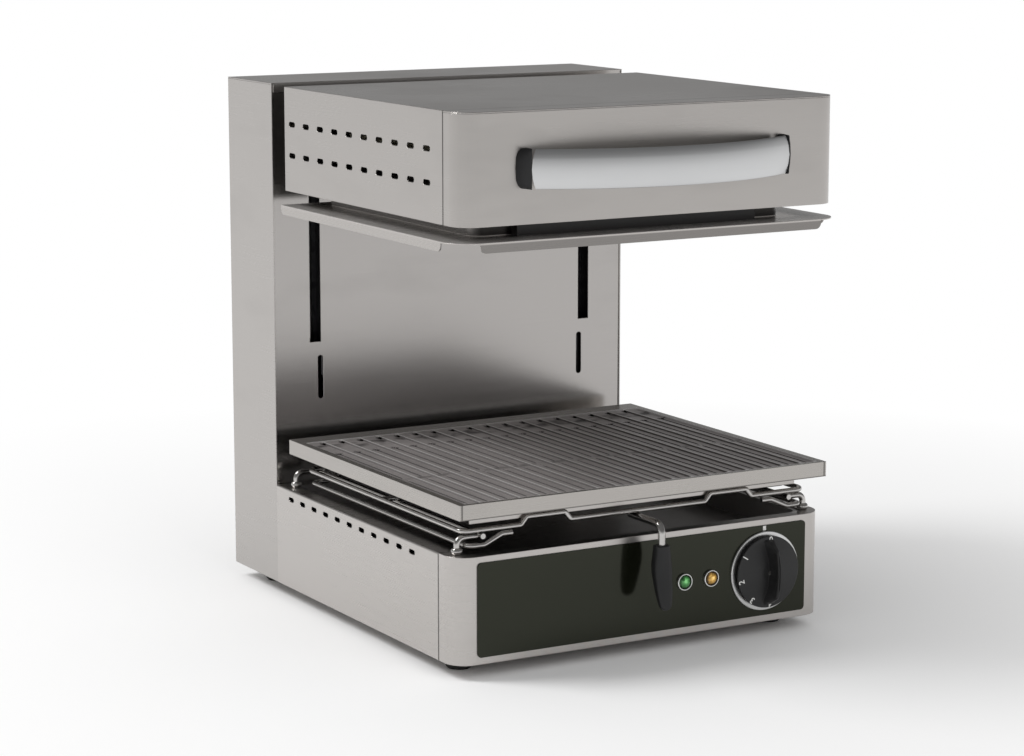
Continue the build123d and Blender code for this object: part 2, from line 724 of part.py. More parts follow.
# ---------------------------------------------------------------- bowed handle
handle_rise = 32.0         # lower edge above the head's bottom
handle_height = 35.0
handle_thickness = 5.0
handle_inset = 64.0        # bar's ends inside the casing's sides
handle_half = half - handle_inset
handle_end_reach = 13.0    # outer face of the bar's ends ahead of the head
handle_edge_round = 1.6
cap_width = 9.0            # outer side of a cap beyond the bar's end
cap_round = 1.0
cap_half = handle_half + cap_width
cap_height = 35.5
cap_root = 14.0            # where the cap meets the head, measured inwards from its outer side
bow_rise = handle_reach - handle_end_reach
bow_radius = (handle_half ** 2 + bow_rise ** 2) / (2 * bow_rise)
bow_center_y = head_front - handle_reach + bow_radius
bow_inner = bow_radius - handle_thickness
bow_angle = degrees(asin(handle_half / bow_radius))
handle_z = head_bottom + handle_rise + handle_height / 2


def bow_point(angle, radius):
    # a point of the bow seen from above, at an angle from the middle
    return (radius * sin(radians(angle)), bow_center_y - radius * cos(radians(angle)))


with BuildPart() as handle_bar:
    with BuildSketch(Plane.XY.offset(handle_z - handle_height / 2)):
        with BuildLine():
            CenterArc((0, bow_center_y), bow_radius, 270 - bow_angle, 2 * bow_angle)
            CenterArc((0, bow_center_y), bow_inner, 270 - bow_angle, 2 * bow_angle)
            for end_angle in (-bow_angle, bow_angle):
                Line(bow_point(end_angle, bow_radius), bow_point(end_angle, bow_inner))
        make_face()
    extrude(amount=handle_height)
    bar_rims = handle_bar.edges().filter_by(GeomType.CIRCLE)
    fillet(bar_rims, handle_edge_round)
handle_bar.part.label = "handle_bar"
export_step(handle_bar.part, "parts/handle_bar.step")

for side, hand in ((-1, "left"), (1, "right")):
    cap_corner = (side * cap_half, head_front, handle_z)
    with BuildPart() as handle_cap:
        with BuildSketch(Plane.XY.offset(handle_z - cap_height / 2)):
            with BuildLine():
                Polyline(
                    (side * cap_half, head_front),
                    bow_point(side * bow_angle, bow_radius),
                    bow_point(side * bow_angle, bow_inner),
                    (side * (cap_half - cap_root), head_front),
                    close=True,
                )
            make_face()
        extrude(amount=cap_height)
        fillet(handle_cap.edges().filter_by(Axis.Z).sort_by_distance(cap_corner)[0], cap_round)
    handle_cap.part.label = f"handle_cap_{hand}"
    export_step(handle_cap.part, f"parts/handle_cap_{hand}.step")

# screws from inside the head into the handle's caps
handle_screw_spread = 18.0
with BuildPart() as handle_screws:
    with BuildSketch(Plane.XZ.offset(-(head_front + sheet))):
        with Locations((0, handle_z)):
            with GridLocations(2 * (cap_half - cap_root / 2), handle_screw_spread, 2, 2):
                Circle(screw_head / 2)
    extrude(amount=-screw_head_height)
handle_screws.part.label = "handle_screws"
export_step(handle_screws.part, "parts/handle_screws.step")

# ---------------------------------------------------------------- lamps
bezel_diameter = 16.0
bezel_height = 2.5
bezel_round = 1.2
lens_diameter = 11.0
lens_dome = 3.5
lamp_body_length = 24.0
with BuildPart() as lamp_bezels:
    with BuildSketch(Plane.XZ.offset(-panel_face)):
        with Locations(*lamp_spots):
            Circle(bezel_diameter / 2)
            Circle(lens_diameter / 2, mode=Mode.SUBTRACT)
    extrude(amount=bezel_height)
    fillet(lamp_bezels.edges().group_by(Axis.Y)[0].sort_by(SortBy.LENGTH)[-2:], bezel_round)
lamp_bezels.part.label = "lamp_bezels"
export_step(lamp_bezels.part, "parts/lamp_bezels.step")

dome_radius = ((lens_diameter / 2) ** 2 + lens_dome ** 2) / (2 * lens_dome)
for lens_x, lens_name in ((lamp_green_x, "green_lens"), (lamp_amber_x, "amber_lens")):
    with BuildPart() as lamp_lens:
        # half section of a short barrel with a domed end, turned about the lamp's axis
        with BuildSketch(Plane.XY.offset(panel_z)):
            with BuildLine():
                barrel = Polyline(
                    (lens_x, panel_face - bezel_height / 2 - lens_dome),
                    (lens_x, panel_face),
                    (lens_x + lens_diameter / 2, panel_face),
                    (lens_x + lens_diameter / 2, panel_face - bezel_height / 2),
                )
                RadiusArc(barrel @ 1, barrel @ 0, dome_radius)
            make_face()
        revolve(axis=Axis((lens_x, 0, panel_z), (0, 1, 0)))
    lamp_lens.part.label = lens_name
    export_step(lamp_lens.part, f"parts/{lens_name}.step")

with BuildPart() as lamp_bodies:
    with BuildSketch(Plane.XZ.offset(-panel_face)):
        with Locations(*lamp_spots):
            Circle(lamp_body_diameter / 2)
    extrude(amount=-lamp_body_length)
lamp_bodies.part.label = "lamp_bodies"
export_step(lamp_bodies.part, "parts/lamp_bodies.step")

# ---------------------------------------------------------------- heat regulator and knob
regulator_width = 44.0
regulator_height = 42.0
regulator_depth = 34.0
regulator_corner = 4.0
shaft_diameter = 6.0
shaft_reach = 12.0         # shaft end ahead of the panel
bush_reach = 1.0           # bush end ahead of the panel
shaft_hold = 15.0          # shaft inside the regulator
regulator_front = base_front + sheet

with BuildPart() as heat_regulator:
    with BuildSketch(Plane.XZ.offset(-regulator_front)):
        with Locations((knob_x, panel_z)):
            RectangleRounded(regulator_width, regulator_height, regulator_corner)
    extrude(amount=-regulator_depth)
    with BuildSketch(Plane.XZ.offset(-regulator_front)):
        with Locations((knob_x, panel_z)):
            Circle(bush_diameter / 2 - turn_gap)
    extrude(amount=regulator_front - panel_face + bush_reach)
    with BuildSketch(Plane.XZ.offset(-(panel_face - bush_reach))):
        with Locations((knob_x, panel_z)):
            Circle(shaft_diameter / 2 + turn_gap)
    extrude(amount=-(regulator_front - panel_face + bush_reach + shaft_hold), mode=Mode.SUBTRACT)
heat_regulator.part.label = "heat_regulator"
export_step(heat_regulator.part, "parts/heat_regulator.step")

dial_ring_diameter = 76.0
dial_ring_thickness = 2.0
dial_ring_bore = 60.0
dial_ring_break = 1.0
with BuildPart() as dial_ring:
    with BuildSketch(Plane.XZ.offset(-panel_face)):
        with Locations((knob_x, panel_z)):
            Circle(dial_ring_diameter / 2)
            Circle(dial_ring_bore / 2, mode=Mode.SUBTRACT)
    extrude(amount=dial_ring_thickness)
    chamfer(dial_ring.edges().group_by(Axis.Y)[0].sort_by(SortBy.LENGTH)[-1], dial_ring_break)
dial_ring.part.label = "dial_ring"
export_step(dial_ring.part, "parts/dial_ring.step")

knob_diameter = 70.0
knob_rim_thickness = 2.8
knob_rim_round = 1.0
knob_rise = 4.2            # the disc's face climbs this much from its rim to the ridge
knob_rise_diameter = 24.0  # level middle of the disc's face
knob_gap = 1.0             # between the dial ring and the knob
knob_ridge_reach = 17.0    # ridge ahead of the knob's disc
knob_ridge_half = 31.5
knob_ridge_width = 17.4
knob_crest_half = 23.0
knob_crest_width = 4.0
ridge_foot_round = 4.0
ridge_crest_round = 1.5
knob_back = panel_face - dial_ring_thickness - knob_gap
knob_rim_face = knob_back - knob_rim_thickness
knob_disc_face = knob_rim_face - knob_rise
shaft_end = panel_face - shaft_reach

with BuildPart() as control_knob:
    with BuildSketch(Plane.XZ.offset(-knob_back)):
        with Locations((knob_x, panel_z)):
            Circle(knob_diameter / 2)
    extrude(amount=knob_rim_thickness)
    fillet(control_knob.edges().group_by(Axis.Y)[0], knob_rim_round)
    # the disc's face climbs from the rim to the middle
    with BuildSketch(Plane.XZ.offset(-knob_rim_face)):
        with Locations((knob_x, panel_z)):
            Circle(knob_diameter / 2 - knob_rim_round)
    with BuildSketch(Plane.XZ.offset(-knob_disc_face)):
        with Locations((knob_x, panel_z)):
            Circle(knob_rise_diameter / 2)
    loft()
    # the ridge that the fingers turn
    with BuildSketch(Plane.XZ.offset(-knob_rim_face)):
        with Locations((knob_x, panel_z)):
            RectangleRounded(knob_ridge_width, 2 * knob_ridge_half, ridge_foot_round)
    with BuildSketch(Plane.XZ.offset(-(knob_disc_face - knob_ridge_reach))):
        with Locations((knob_x, panel_z)):
            RectangleRounded(knob_crest_width, 2 * knob_crest_half, ridge_crest_round)
    loft()
    with BuildSketch(Plane.XZ.offset(-knob_back)):
        with Locations((knob_x, panel_z)):
            Circle(shaft_diameter / 2)
    extrude(amount=knob_back - shaft_end, mode=Mode.SUBTRACT)
control_knob.part.label = "control_knob"
export_step(control_knob.part, "parts/control_knob.step")

with BuildPart() as regulator_shaft:
    with BuildSketch(Plane.XZ.offset(-shaft_end)):
        with Locations((knob_x, panel_z)):
            Circle(shaft_diameter / 2)
    extrude(amount=-(regulator_front + shaft_hold - turn_gap - shaft_end))
regulator_shaft.part.label = "regulator_shaft"
export_step(regulator_shaft.part, "parts/regulator_shaft.step")

# ---------------------------------------------------------------- stand: rails on four feet
rail_diameter = 5.0
rail_inset = 34.0          # rail's centre from the casing's side
rail_rise = 15.6           # rail centre above the base's top
stand_inset = 12.0         # foot's centre from the casing's side
stand_diameter = 6.0
stand_inset_front = 18.7
stand_inset_back = 20.2
rail_inset_front = 9.7
rail_inset_back = 15.0
arm_drop = 1.0             # foot arm's centre under the rail's centre
stand_bend = 6.5
grommet_diameter = 11.0
grommet_height = 6.0
grommet_round = 2.7
rail_x = half - rail_inset
stand_x = half - stand_inset
stand_front = base_front + stand_inset_front
stand_back = column_front - stand_inset_back
rail_front = base_front + rail_inset_front
rail_back = column_front - rail_inset_back
rail_z = base_top + rail_rise
stand_arm_z = rail_z - arm_drop

for side, hand in ((-1, "left"), (1, "right")):
    with BuildPart() as stand_rail:
        with BuildSketch(Plane.XZ.offset(-rail_back)):
            with Locations((side * rail_x, rail_z)):
                Circle(rail_diameter / 2)
        extrude(amount=rail_back - rail_front)
        for foot_y in (stand_front, stand_back):
            with BuildLine():
                FilletPolyline(
                    (side * stand_x, foot_y, base_top + grommet_height),
                    (side * stand_x, foot_y, stand_arm_z),
                    (side * rail_x, foot_y, stand_arm_z),
                    radius=stand_bend,
                )
            with BuildSketch(Plane.XY.offset(base_top + grommet_height)):
                with Locations((side * stand_x, foot_y)):
                    Circle(stand_diameter / 2)
            sweep()
    stand_rail.part.label = f"stand_rail_{hand}"
    export_step(stand_rail.part, f"parts/stand_rail_{hand}.step")

with BuildPart() as stand_grommets:
    with BuildSketch(Plane.XY.offset(base_top)):
        with Locations((0, (stand_front + stand_back) / 2)):
            with GridLocations(2 * stand_x, stand_back - stand_front, 2, 2):
                Circle(grommet_diameter / 2)
    extrude(amount=grommet_height)
    fillet(stand_grommets.edges().group_by(Axis.Z)[-1], grommet_round)
stand_grommets.part.label = "stand_grommets"
export_step(stand_grommets.part, "parts/stand_grommets.step")

# ---------------------------------------------------------------- sliding wire carriage
carriage_wire = 5.0
carriage_inset = 15.0      # side wires' centres from the casing's sides
carriage_inset_front = 13.7
carriage_inset_back = 42.2
carriage_corner = 9.0
bridge_inset = 86.0        # bridges' middles from the side wires
bridge_half = 20.0
bridge_slope = 6.0
bridge_rise = 7.0
bridge_bend = 3.0
bridge_overlap = 24.0      # front bar's ends beyond the bridges, welded to the side wires
carriage_x = half - carriage_inset
carriage_front = base_front + carriage_inset_front
carriage_back = column_front - carriage_inset_back
bridge_x = carriage_x - bridge_inset
bar_end_x = bridge_x + bridge_half + bridge_overlap
carriage_z = rail_z + rail_diameter / 2 + slide_gap + carriage_wire / 2
cross_y = (carriage_front + carriage_back) / 2

bridge_steps = [
    (bridge_x + bridge_half + bridge_slope, 0.0),
    (bridge_x + bridge_half, bridge_rise),
    (bridge_x - bridge_half, bridge_rise),
    (bridge_x - bridge_half - bridge_slope, 0.0),
]
front_run = [(-x, z) for x, z in bridge_steps] + [(x, z) for x, z in reversed(bridge_steps)]

with BuildPart() as carriage_frame:
    # back bar and both sides, with rounded corners
    with BuildLine():
        FilletPolyline(
            (-bar_end_x, carriage_front, carriage_z),
            (-carriage_x, carriage_front, carriage_z),
            (-carriage_x, carriage_back, carriage_z),
            (carriage_x, carriage_back, carriage_z),
            (carriage_x, carriage_front, carriage_z),
            (bar_end_x, carriage_front, carriage_z),
            radius=carriage_corner,
        )
    with BuildSketch(Plane.YZ.offset(-bar_end_x)):
        with Locations((carriage_front, carriage_z)):
            Circle(carriage_wire / 2)
    sweep()
    # front bar, raised in two bridges that keep the tray in place
    with BuildLine():
        FilletPolyline(
            (-bar_end_x, carriage_front, carriage_z),
            *[(x, carriage_front, carriage_z + z) for x, z in front_run],
            (bar_end_x, carriage_front, carriage_z),
            radius=bridge_bend,
        )
    with BuildSketch(Plane.YZ.offset(-bar_end_x)):
        with Locations((carriage_front, carriage_z)):
            Circle(carriage_wire / 2)
    sweep()
    # middle bar under the tray
    with BuildSketch(Plane.YZ.offset(-carriage_x)):
        with Locations((cross_y, carriage_z)):
            Circle(carriage_wire / 2)
    extrude(amount=2 * carriage_x)
carriage_frame.part.label = "carriage_frame"
export_step(carriage_frame.part, "parts/carriage_frame.step")

# wires that run under the rails and stop the carriage from tipping
tilt_inset = 19.6          # from the casing's side
tilt_drop = 8.2            # under the rail's centre
tilt_level_length = 16.4   # from the side wire to where the ends rise
tilt_slope_length = 18.0
tilt_end_length = 10.5
tilt_inset_front = 11.7
tilt_inset_back = 40.2
tilt_bend = 7.0
tilt_x = half - tilt_inset
tilt_turn_x = tilt_x - tilt_level_length
tilt_slope_end = tilt_turn_x - tilt_slope_length
tilt_end_x = tilt_slope_end - tilt_end_length
tilt_front = base_front + tilt_inset_front
tilt_back = column_front - tilt_inset_back
tilt_z = rail_z - tilt_drop
tilt_end_z = carriage_z - carriage_wire - slide_gap
for side, hand in ((-1, "left"), (1, "right")):
    with BuildPart() as tilt_wire:
        with BuildLine():
            FilletPolyline(
                (side * tilt_end_x, tilt_front, tilt_end_z),
                (side * tilt_slope_end, tilt_front, tilt_end_z),
                (side * tilt_turn_x, tilt_front, tilt_z),
                (side * tilt_x, tilt_front, tilt_z),
                (side * tilt_x, tilt_back, tilt_z),
                (side * tilt_turn_x, tilt_back, tilt_z),
                (side * tilt_slope_end, tilt_back, tilt_end_z),
                (side * tilt_end_x, tilt_back, tilt_end_z),
                radius=tilt_bend,
            )
        with BuildSketch(Plane.YZ.offset(side * tilt_end_x)):
            with Locations((tilt_front, tilt_end_z)):
                Circle(carriage_wire / 2)
        sweep()
    tilt_wire.part.label = f"anti_tilt_wire_{hand}"
    export_step(tilt_wire.part, f"parts/anti_tilt_wire_{hand}.step")

# ---------------------------------------------------------------- lever and grip
lever_diameter = 7.0
lever_inside = 14.0        # rod behind the front bar
lever_reach = 26.3         # down-turned end ahead of the base
lever_bend = 9.0
grip_top_drop = 4.2        # grip's top below the base's top
grip_top_width = 14.0
grip_top_thickness = 12.0
grip_wide_drop = 21.7      # widest place under the grip's top
grip_width = 19.0
grip_thickness = 14.0
grip_narrow_drop = 46.0    # where the grip starts to close towards its tip
grip_narrow_width = 15.0
grip_narrow_thickness = 9.5
grip_narrow_lean = 5.0     # how far it leans forward there
grip_length = 60.0
grip_tip_width = 8.0
grip_tip_thickness = 5.0
grip_tip_lean = 8.0
grip_round = 2.0
grip_socket = 20.0
grip_socket_gap = 1.0      # between the rod's end and the socket's bottom
lever_front = base_front - lever_reach
lever_z = carriage_z - carriage_wire / 2 - slide_gap - lever_diameter / 2
grip_top = base_top - grip_top_drop
with BuildPart() as lever_rod:
    with BuildLine():
        FilletPolyline(
            (0, carriage_front + lever_inside, lever_z),
            (0, lever_front, lever_z),
            (0, lever_front, grip_top - grip_socket + grip_socket_gap),
            radius=lever_bend,
        )
    with BuildSketch(Plane.XZ.offset(-(carriage_front + lever_inside))):
        with Locations((0, lever_z)):
            Circle(lever_diameter / 2)
    sweep()
lever_rod.part.label = "lever_rod"
export_step(lever_rod.part, "parts/lever_rod.step")

# leaf-shaped grip: widest a third of the way down, closing and leaning forward to its tip
with BuildPart() as lever_grip:
    with BuildSketch(Plane.XY.offset(grip_top)):
        with Locations((0, lever_front)):
            RectangleRounded(grip_top_width, grip_top_thickness, grip_round)
    with BuildSketch(Plane.XY.offset(grip_top - grip_wide_drop)):
        with Locations((0, lever_front)):
            RectangleRounded(grip_width, grip_thickness, grip_round)
    with BuildSketch(Plane.XY.offset(grip_top - grip_narrow_drop)):
        with Locations((0, lever_front - grip_narrow_lean)):
            RectangleRounded(grip_narrow_width, grip_narrow_thickness, grip_round)
    with BuildSketch(Plane.XY.offset(grip_top - grip_length)):
        with Locations((0, lever_front - grip_tip_lean)):
            RectangleRounded(grip_tip_width, grip_tip_thickness, grip_round)
    loft(ruled=True)
    with BuildSketch(Plane.XY.offset(grip_top)):
        with Locations((0, lever_front)):
            Circle(lever_diameter / 2 + turn_gap)
    extrude(amount=-grip_socket, mode=Mode.SUBTRACT)
lever_grip.part.label = "lever_grip"
export_step(lever_grip.part, "parts/lever_grip.step")

# ---------------------------------------------------------------- drip tray
tray_inset_side = 23.0
tray_inset_front = 18.7
tray_inset_back = 48.0
tray_sheet = 1.0
tray_slope = 6.0
tray_height = 11.3
tray_corner = 10.0
tray_wall_angle = 45.0
tray_half = half - tray_inset_side
tray_front = base_front + tray_inset_front
tray_back = column_front - tray_inset_back
tray_bottom = carriage_z + carriage_wire / 2 + rest_gap
tray_y = (tray_front + tray_back) / 2
tray_depth = tray_back - tray_front
with BuildPart() as drip_tray:
    with BuildSketch(Plane.XY.offset(tray_bottom)):
        with Locations((0, tray_y)):
            RectangleRounded(2 * (tray_half - tray_slope), tray_depth - 2 * tray_slope,
                             tray_corner - tray_slope)
    extrude(amount=tray_slope, taper=-tray_wall_angle)
    with BuildSketch(Plane.XY.offset(tray_bottom + tray_slope)):
        with Locations((0, tray_y)):
            RectangleRounded(2 * tray_half, tray_depth, tray_corner)
    extrude(amount=tray_height - tray_slope)
    with BuildSketch(Plane.XY.offset(tray_bottom + tray_sheet)):
        with Locations((0, tray_y)):
            RectangleRounded(2 * (tray_half - tray_slope - tray_sheet),
                             tray_depth - 2 * (tray_slope + tray_sheet),
                             tray_corner - tray_slope)
    extrude(amount=tray_slope, taper=-tray_wall_angle, mode=Mode.SUBTRACT)
    with BuildSketch(Plane.XY.offset(tray_bottom + tray_sheet + tray_slope)):
        with Locations((0, tray_y)):
            RectangleRounded(2 * (tray_half - tray_sheet), tray_depth - 2 * tray_sheet,
                             tray_corner - tray_sheet)
    extrude(amount=tray_height - tray_slope - tray_sheet, mode=Mode.SUBTRACT)
drip_tray.part.label = "drip_tray"
export_step(drip_tray.part, "parts/drip_tray.step")

# ---------------------------------------------------------------- grate
grate_inset = 2.3          # inside the casing's sides
grate_lead = 5.2           # ahead of the base's front
grate_inset_back = 25.5
grate_height = 14.3
grate_sheet = 1.5
grate_rim = 7.0
grate_back_band = 23.0
grate_front_band = 4.0
grate_flange = 24.0        # lower flange that lies on the tray's rim
rib_pitch = 20.4
rib_crest = 2.0
rib_rise = 1.6
valley_flat = 15.4
drain_width = 2.0
drain_hole = 7.0           # round hole at the back end of each valley's drains
drain_start = 50.5         # ahead of the plate's back edge
drain_bridge = 6.0
drain_end = 8.0
drain_break = 0.46         # place of the bridge between the two rows of slots
grate_half = half - grate_inset
grate_front = base_front - grate_lead
grate_back = column_front - grate_inset_back
grate_bottom = tray_bottom + tray_height + rest_gap
grate_top = grate_bottom + grate_height
plate_y0 = grate_front + grate_front_band
plate_y1 = grate_back - grate_back_band
plate_half = grate_half - grate_rim
rib_count = int(2 * plate_half // rib_pitch)

with BuildPart() as grate_frame:
    with BuildSketch(Plane.XY.offset(grate_bottom)):
        with Locations((0, (grate_front + grate_back) / 2)):
            Rectangle(2 * grate_half, grate_back - grate_front)
    extrude(amount=grate_height)
    # hollow between the top rim and the lower flange
    with BuildSketch(Plane.XY.offset(grate_bottom + grate_sheet)):
        with Locations((0, (grate_front + grate_back) / 2)):
            Rectangle(2 * (grate_half - grate_sheet), grate_back - grate_front - 2 * grate_sheet)
    extrude(amount=grate_height - 2 * grate_sheet, mode=Mode.SUBTRACT)
    # opening in the lower flange
    with BuildSketch(Plane.XY.offset(grate_bottom)):
        with Locations((0, (grate_front + grate_back) / 2)):
            Rectangle(2 * (grate_half - grate_flange), grate_back - grate_front - 2 * grate_flange)
    extrude(amount=grate_sheet, mode=Mode.SUBTRACT)
    # opening that the ribbed plate fills
    with BuildSketch(Plane.XY.offset(grate_top - grate_sheet)):
        with Locations((0, (plate_y0 + plate_y1) / 2)):
            Rectangle(2 * plate_half, plate_y1 - plate_y0)
    extrude(amount=grate_sheet, mode=Mode.SUBTRACT)
grate_frame.part.label = "grate_frame"
export_step(grate_frame.part, "parts/grate_frame.step")

# ribbed plate: narrow crests with a slotted valley between each two
rib_spots = [(index - (rib_count - 1) / 2) * rib_pitch for index in range(rib_count)]
valley_z = grate_top - rib_rise
top_line = [(-plate_half, grate_top)]
for spot in rib_spots:
    top_line += [
        (spot - rib_pitch / 2 + valley_flat / 2, valley_z),
        (spot - rib_crest / 2, grate_top),
        (spot + rib_crest / 2, grate_top),
        (spot + rib_pitch / 2 - valley_flat / 2, valley_z),
    ]
top_line += [(plate_half, grate_top)]
drain_x = [spot + rib_pitch / 2 for spot in rib_spots[:-1]]
drain_y0 = plate_y0 + drain_end
drain_y1 = plate_y1 - drain_start
drain_split = drain_y0 + (drain_y1 - drain_y0) * drain_break

with BuildPart() as grate_plate:
    with BuildSketch(Plane.XZ.offset(-plate_y1)):
        with BuildLine():
            Polyline(*top_line, *[(x, z - grate_sheet) for x, z in reversed(top_line)], close=True)
        make_face()
    extrude(amount=plate_y1 - plate_y0)
    # end walls that close the valleys against the frame
    with BuildSketch(Plane.XY.offset(valley_z - grate_sheet)):
        for wall_y in (plate_y0 + grate_sheet / 2, plate_y1 - grate_sheet / 2):
            with Locations((0, wall_y)):
                Rectangle(2 * plate_half, grate_sheet)
    extrude(amount=rib_rise + grate_sheet)
    with BuildSketch(Plane.XY.offset(valley_z)):
        for y0, y1 in ((drain_y0, drain_split - drain_bridge / 2),
                       (drain_split + drain_bridge / 2, drain_y1)):
            with Locations(*[(x, (y0 + y1) / 2) for x in drain_x]):
                SlotOverall(y1 - y0, drain_width, rotation=90)
        with Locations(*[(x, drain_y1 - drain_hole / 2) for x in drain_x]):
            Circle(drain_hole / 2)
    extrude(amount=-grate_sheet, mode=Mode.SUBTRACT)
grate_plate.part.label = "grate_plate"
export_step(grate_plate.part, "parts/grate_plate.step")
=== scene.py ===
import json
import math

import bmesh
import bpy
import numpy as np
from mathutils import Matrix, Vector


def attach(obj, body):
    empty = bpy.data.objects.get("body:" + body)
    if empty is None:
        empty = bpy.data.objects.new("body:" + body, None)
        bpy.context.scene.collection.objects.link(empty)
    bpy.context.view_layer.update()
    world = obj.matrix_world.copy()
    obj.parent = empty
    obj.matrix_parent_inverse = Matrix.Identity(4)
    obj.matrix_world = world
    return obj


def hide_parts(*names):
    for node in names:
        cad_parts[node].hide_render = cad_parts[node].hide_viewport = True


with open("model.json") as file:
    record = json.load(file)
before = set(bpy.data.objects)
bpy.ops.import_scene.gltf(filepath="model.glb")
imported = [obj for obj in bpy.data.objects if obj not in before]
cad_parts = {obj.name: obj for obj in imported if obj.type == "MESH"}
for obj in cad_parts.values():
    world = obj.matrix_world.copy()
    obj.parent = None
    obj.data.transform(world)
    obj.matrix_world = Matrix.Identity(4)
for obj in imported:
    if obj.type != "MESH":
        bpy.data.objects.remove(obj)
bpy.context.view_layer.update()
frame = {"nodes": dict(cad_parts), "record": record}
toMetres = 0.001     # shapes below are worked out in millimetres
print("frame loaded")

# camera, at the angle that shows the front and the left side
view = {
    "place": (-1.4036, -2.4159, 0.7176),
    "aim": (0.0986, 0.2112, 0.1867),
    "lens": 102.5,
    "sensor": 36.0,
}
cameraData = bpy.data.cameras.new("studioCamera")
camera = bpy.data.objects.new("studioCamera", cameraData)
bpy.context.scene.collection.objects.link(camera)
camera.location = view["place"]
camera.rotation_euler = (Vector(view["aim"]) - Vector(view["place"])).to_track_quat("-Z", "Y").to_euler()
cameraData.lens = view["lens"]
cameraData.sensor_width = view["sensor"]
cameraData.clip_start = 0.05
cameraData.clip_end = 200
bpy.context.scene.camera = camera
bpy.context.scene.view_settings.view_transform = "Standard"


class Wire:
    # one output of a node; a sum written with it adds Math nodes
    def __init__(self, recipe, socket):
        self.recipe = recipe
        self.socket = socket

    def maths(self, operation, first, second):
        return self.recipe.node("ShaderNodeMath", {"operation": operation}, {0: first, 1: second})

    def __add__(self, other):
        return self.maths("ADD", self, other)

    def __sub__(self, other):
        return self.maths("SUBTRACT", self, other)

    def __rsub__(self, other):
        return self.maths("SUBTRACT", other, self)

    def __mul__(self, other):
        return self.maths("MULTIPLY", self, other)

    def __pow__(self, other):
        return self.maths("POWER", self, other)

    __radd__ = __add__
    __rmul__ = __mul__


class Recipe:
    # a node tree being written, for a material or for the world
    def __init__(self, owner):
        self.owner = owner
        owner.use_nodes = True
        self.tree = owner.node_tree
        self.tree.nodes.clear()

    def node(self, kind, settings=None, inputs=None, output=0):
        made = self.tree.nodes.new(kind)
        for key, value in (settings or {}).items():
            if key == "stops":
                self.rampStops(made.color_ramp, value)
            else:
                setattr(made, key, value)
        for key, value in (inputs or {}).items():
            if isinstance(value, Wire):
                self.tree.links.new(value.socket, made.inputs[key])
            else:
                made.inputs[key].default_value = value
        return Wire(self, made.outputs[output]) if made.outputs else made

    def rampStops(self, ramp, stops):
        while len(ramp.elements) < len(stops):
            ramp.elements.new(0.5)
        for element, (place, colour) in zip(ramp.elements, stops):
            element.position = place
            element.color = (*colour, 1)

    def coordinates(self, output="Object"):
        return self.node("ShaderNodeTexCoord", {}, {}, output)

    def part(self, letter, output="Object"):
        return self.node("ShaderNodeSeparateXYZ", {}, {"Vector": self.coordinates(output)}, letter)

    def placed(self, scale):
        return self.node("ShaderNodeMapping", {}, {"Vector": self.coordinates(), "Scale": scale})

    def noise(self, scale, detail=2.0, rough=0.5):
        # noise stretched by three scales, in blotches per metre
        return self.node("ShaderNodeTexNoise", {}, {
            "Vector": self.placed(scale), "Scale": 1.0, "Detail": detail, "Roughness": rough})

    def size(self, wire):
        # the number without its sign
        return self.node("ShaderNodeMath", {"operation": "ABSOLUTE"}, {0: wire})

    def most(self, first, second):
        # the larger of two numbers
        return self.node("ShaderNodeMath", {"operation": "MAXIMUM"}, {0: first, 1: second})

    def least(self, first, second):
        return self.node("ShaderNodeMath", {"operation": "MINIMUM"}, {0: first, 1: second})

    def ramp(self, wire, stops):
        return self.node("ShaderNodeValToRGB", {"stops": stops}, {"Fac": wire})

    def between(self, low, high, wire):
        # wire spread from low to high, clamped
        return self.node("ShaderNodeMapRange", {}, {"Value": wire, "From Min": low, "From Max": high})

    def colours(self, amount, first, second):
        return self.node("ShaderNodeMix", {"data_type": "RGBA"}, {0: amount, 6: first, 7: second}, 2)

    def numbers(self, amount, first, second):
        return self.node("ShaderNodeMix", {"data_type": "FLOAT"}, {0: amount, 2: first, 3: second}, 0)

    def bump(self, height, distance, strength=1.0, under=None):
        inputs = {"Height": height, "Distance": distance, "Strength": strength}
        if under is not None:
            inputs["Normal"] = under
        return self.node("ShaderNodeBump", {}, inputs)

    def softEdges(self, radius):
        return self.node("ShaderNodeBevel", {"samples": 6}, {"Radius": radius})

    def finish(self, **inputs):
        shader = self.node("ShaderNodeBsdfPrincipled", {}, {
            key: ((*value, 1) if isinstance(value, tuple) and len(value) == 3 else value)
            for key, value in inputs.items()})
        self.node("ShaderNodeOutputMaterial", {}, {"Surface": shader})
        return self.owner


def newRecipe(name):
    return Recipe(bpy.data.materials.new(name))


def wideColour(red, green, blue):
    return (red, green, blue, 1.0)


def scaled(colour, factor=1.0):
    return wideColour(*(part * factor for part in colour))


# colours for soot and painted shade, for a pale coat that is part dust and part painted light, and for
# painted shade on the grate; and the places in metres where the masks below change
dirtLightAndShade = {"sootAndShade": (0.022, 0.020, 0.019), "dustAndLightColour": (0.44, 0.42, 0.405), "grateShade": (0.030, 0.026, 0.025)}
skirtPlaces = {
    "halfWidth": 0.205, "front": -0.2228, "lip": (0.3935, 0.3943), "flangeFoot": (0.3950, 0.3953),
    "flangeTop": (0.3955, 0.3958), "wall": (0.3958, 0.3964), "strip": (0.024, 0.032),
}
framePlaces = {
    "corner": 0.1956, "bottom": 0.1485, "cornerLine": (0.0003, 0.0011), "bottomLine": (0.0004, 0.0013),
}
gratePlaces = {
    "crest": 0.1627, "valley": 0.1614, "shadeFront": (0.070, 0.082), "shadeBack": (0.094, 0.102),
    "bridge": 0.082, "bridgeShade": (0.0022, 0.0060),
}
seams = {"base": -0.1781, "head": -0.1896, "line": (0.0004, 0.0016)}


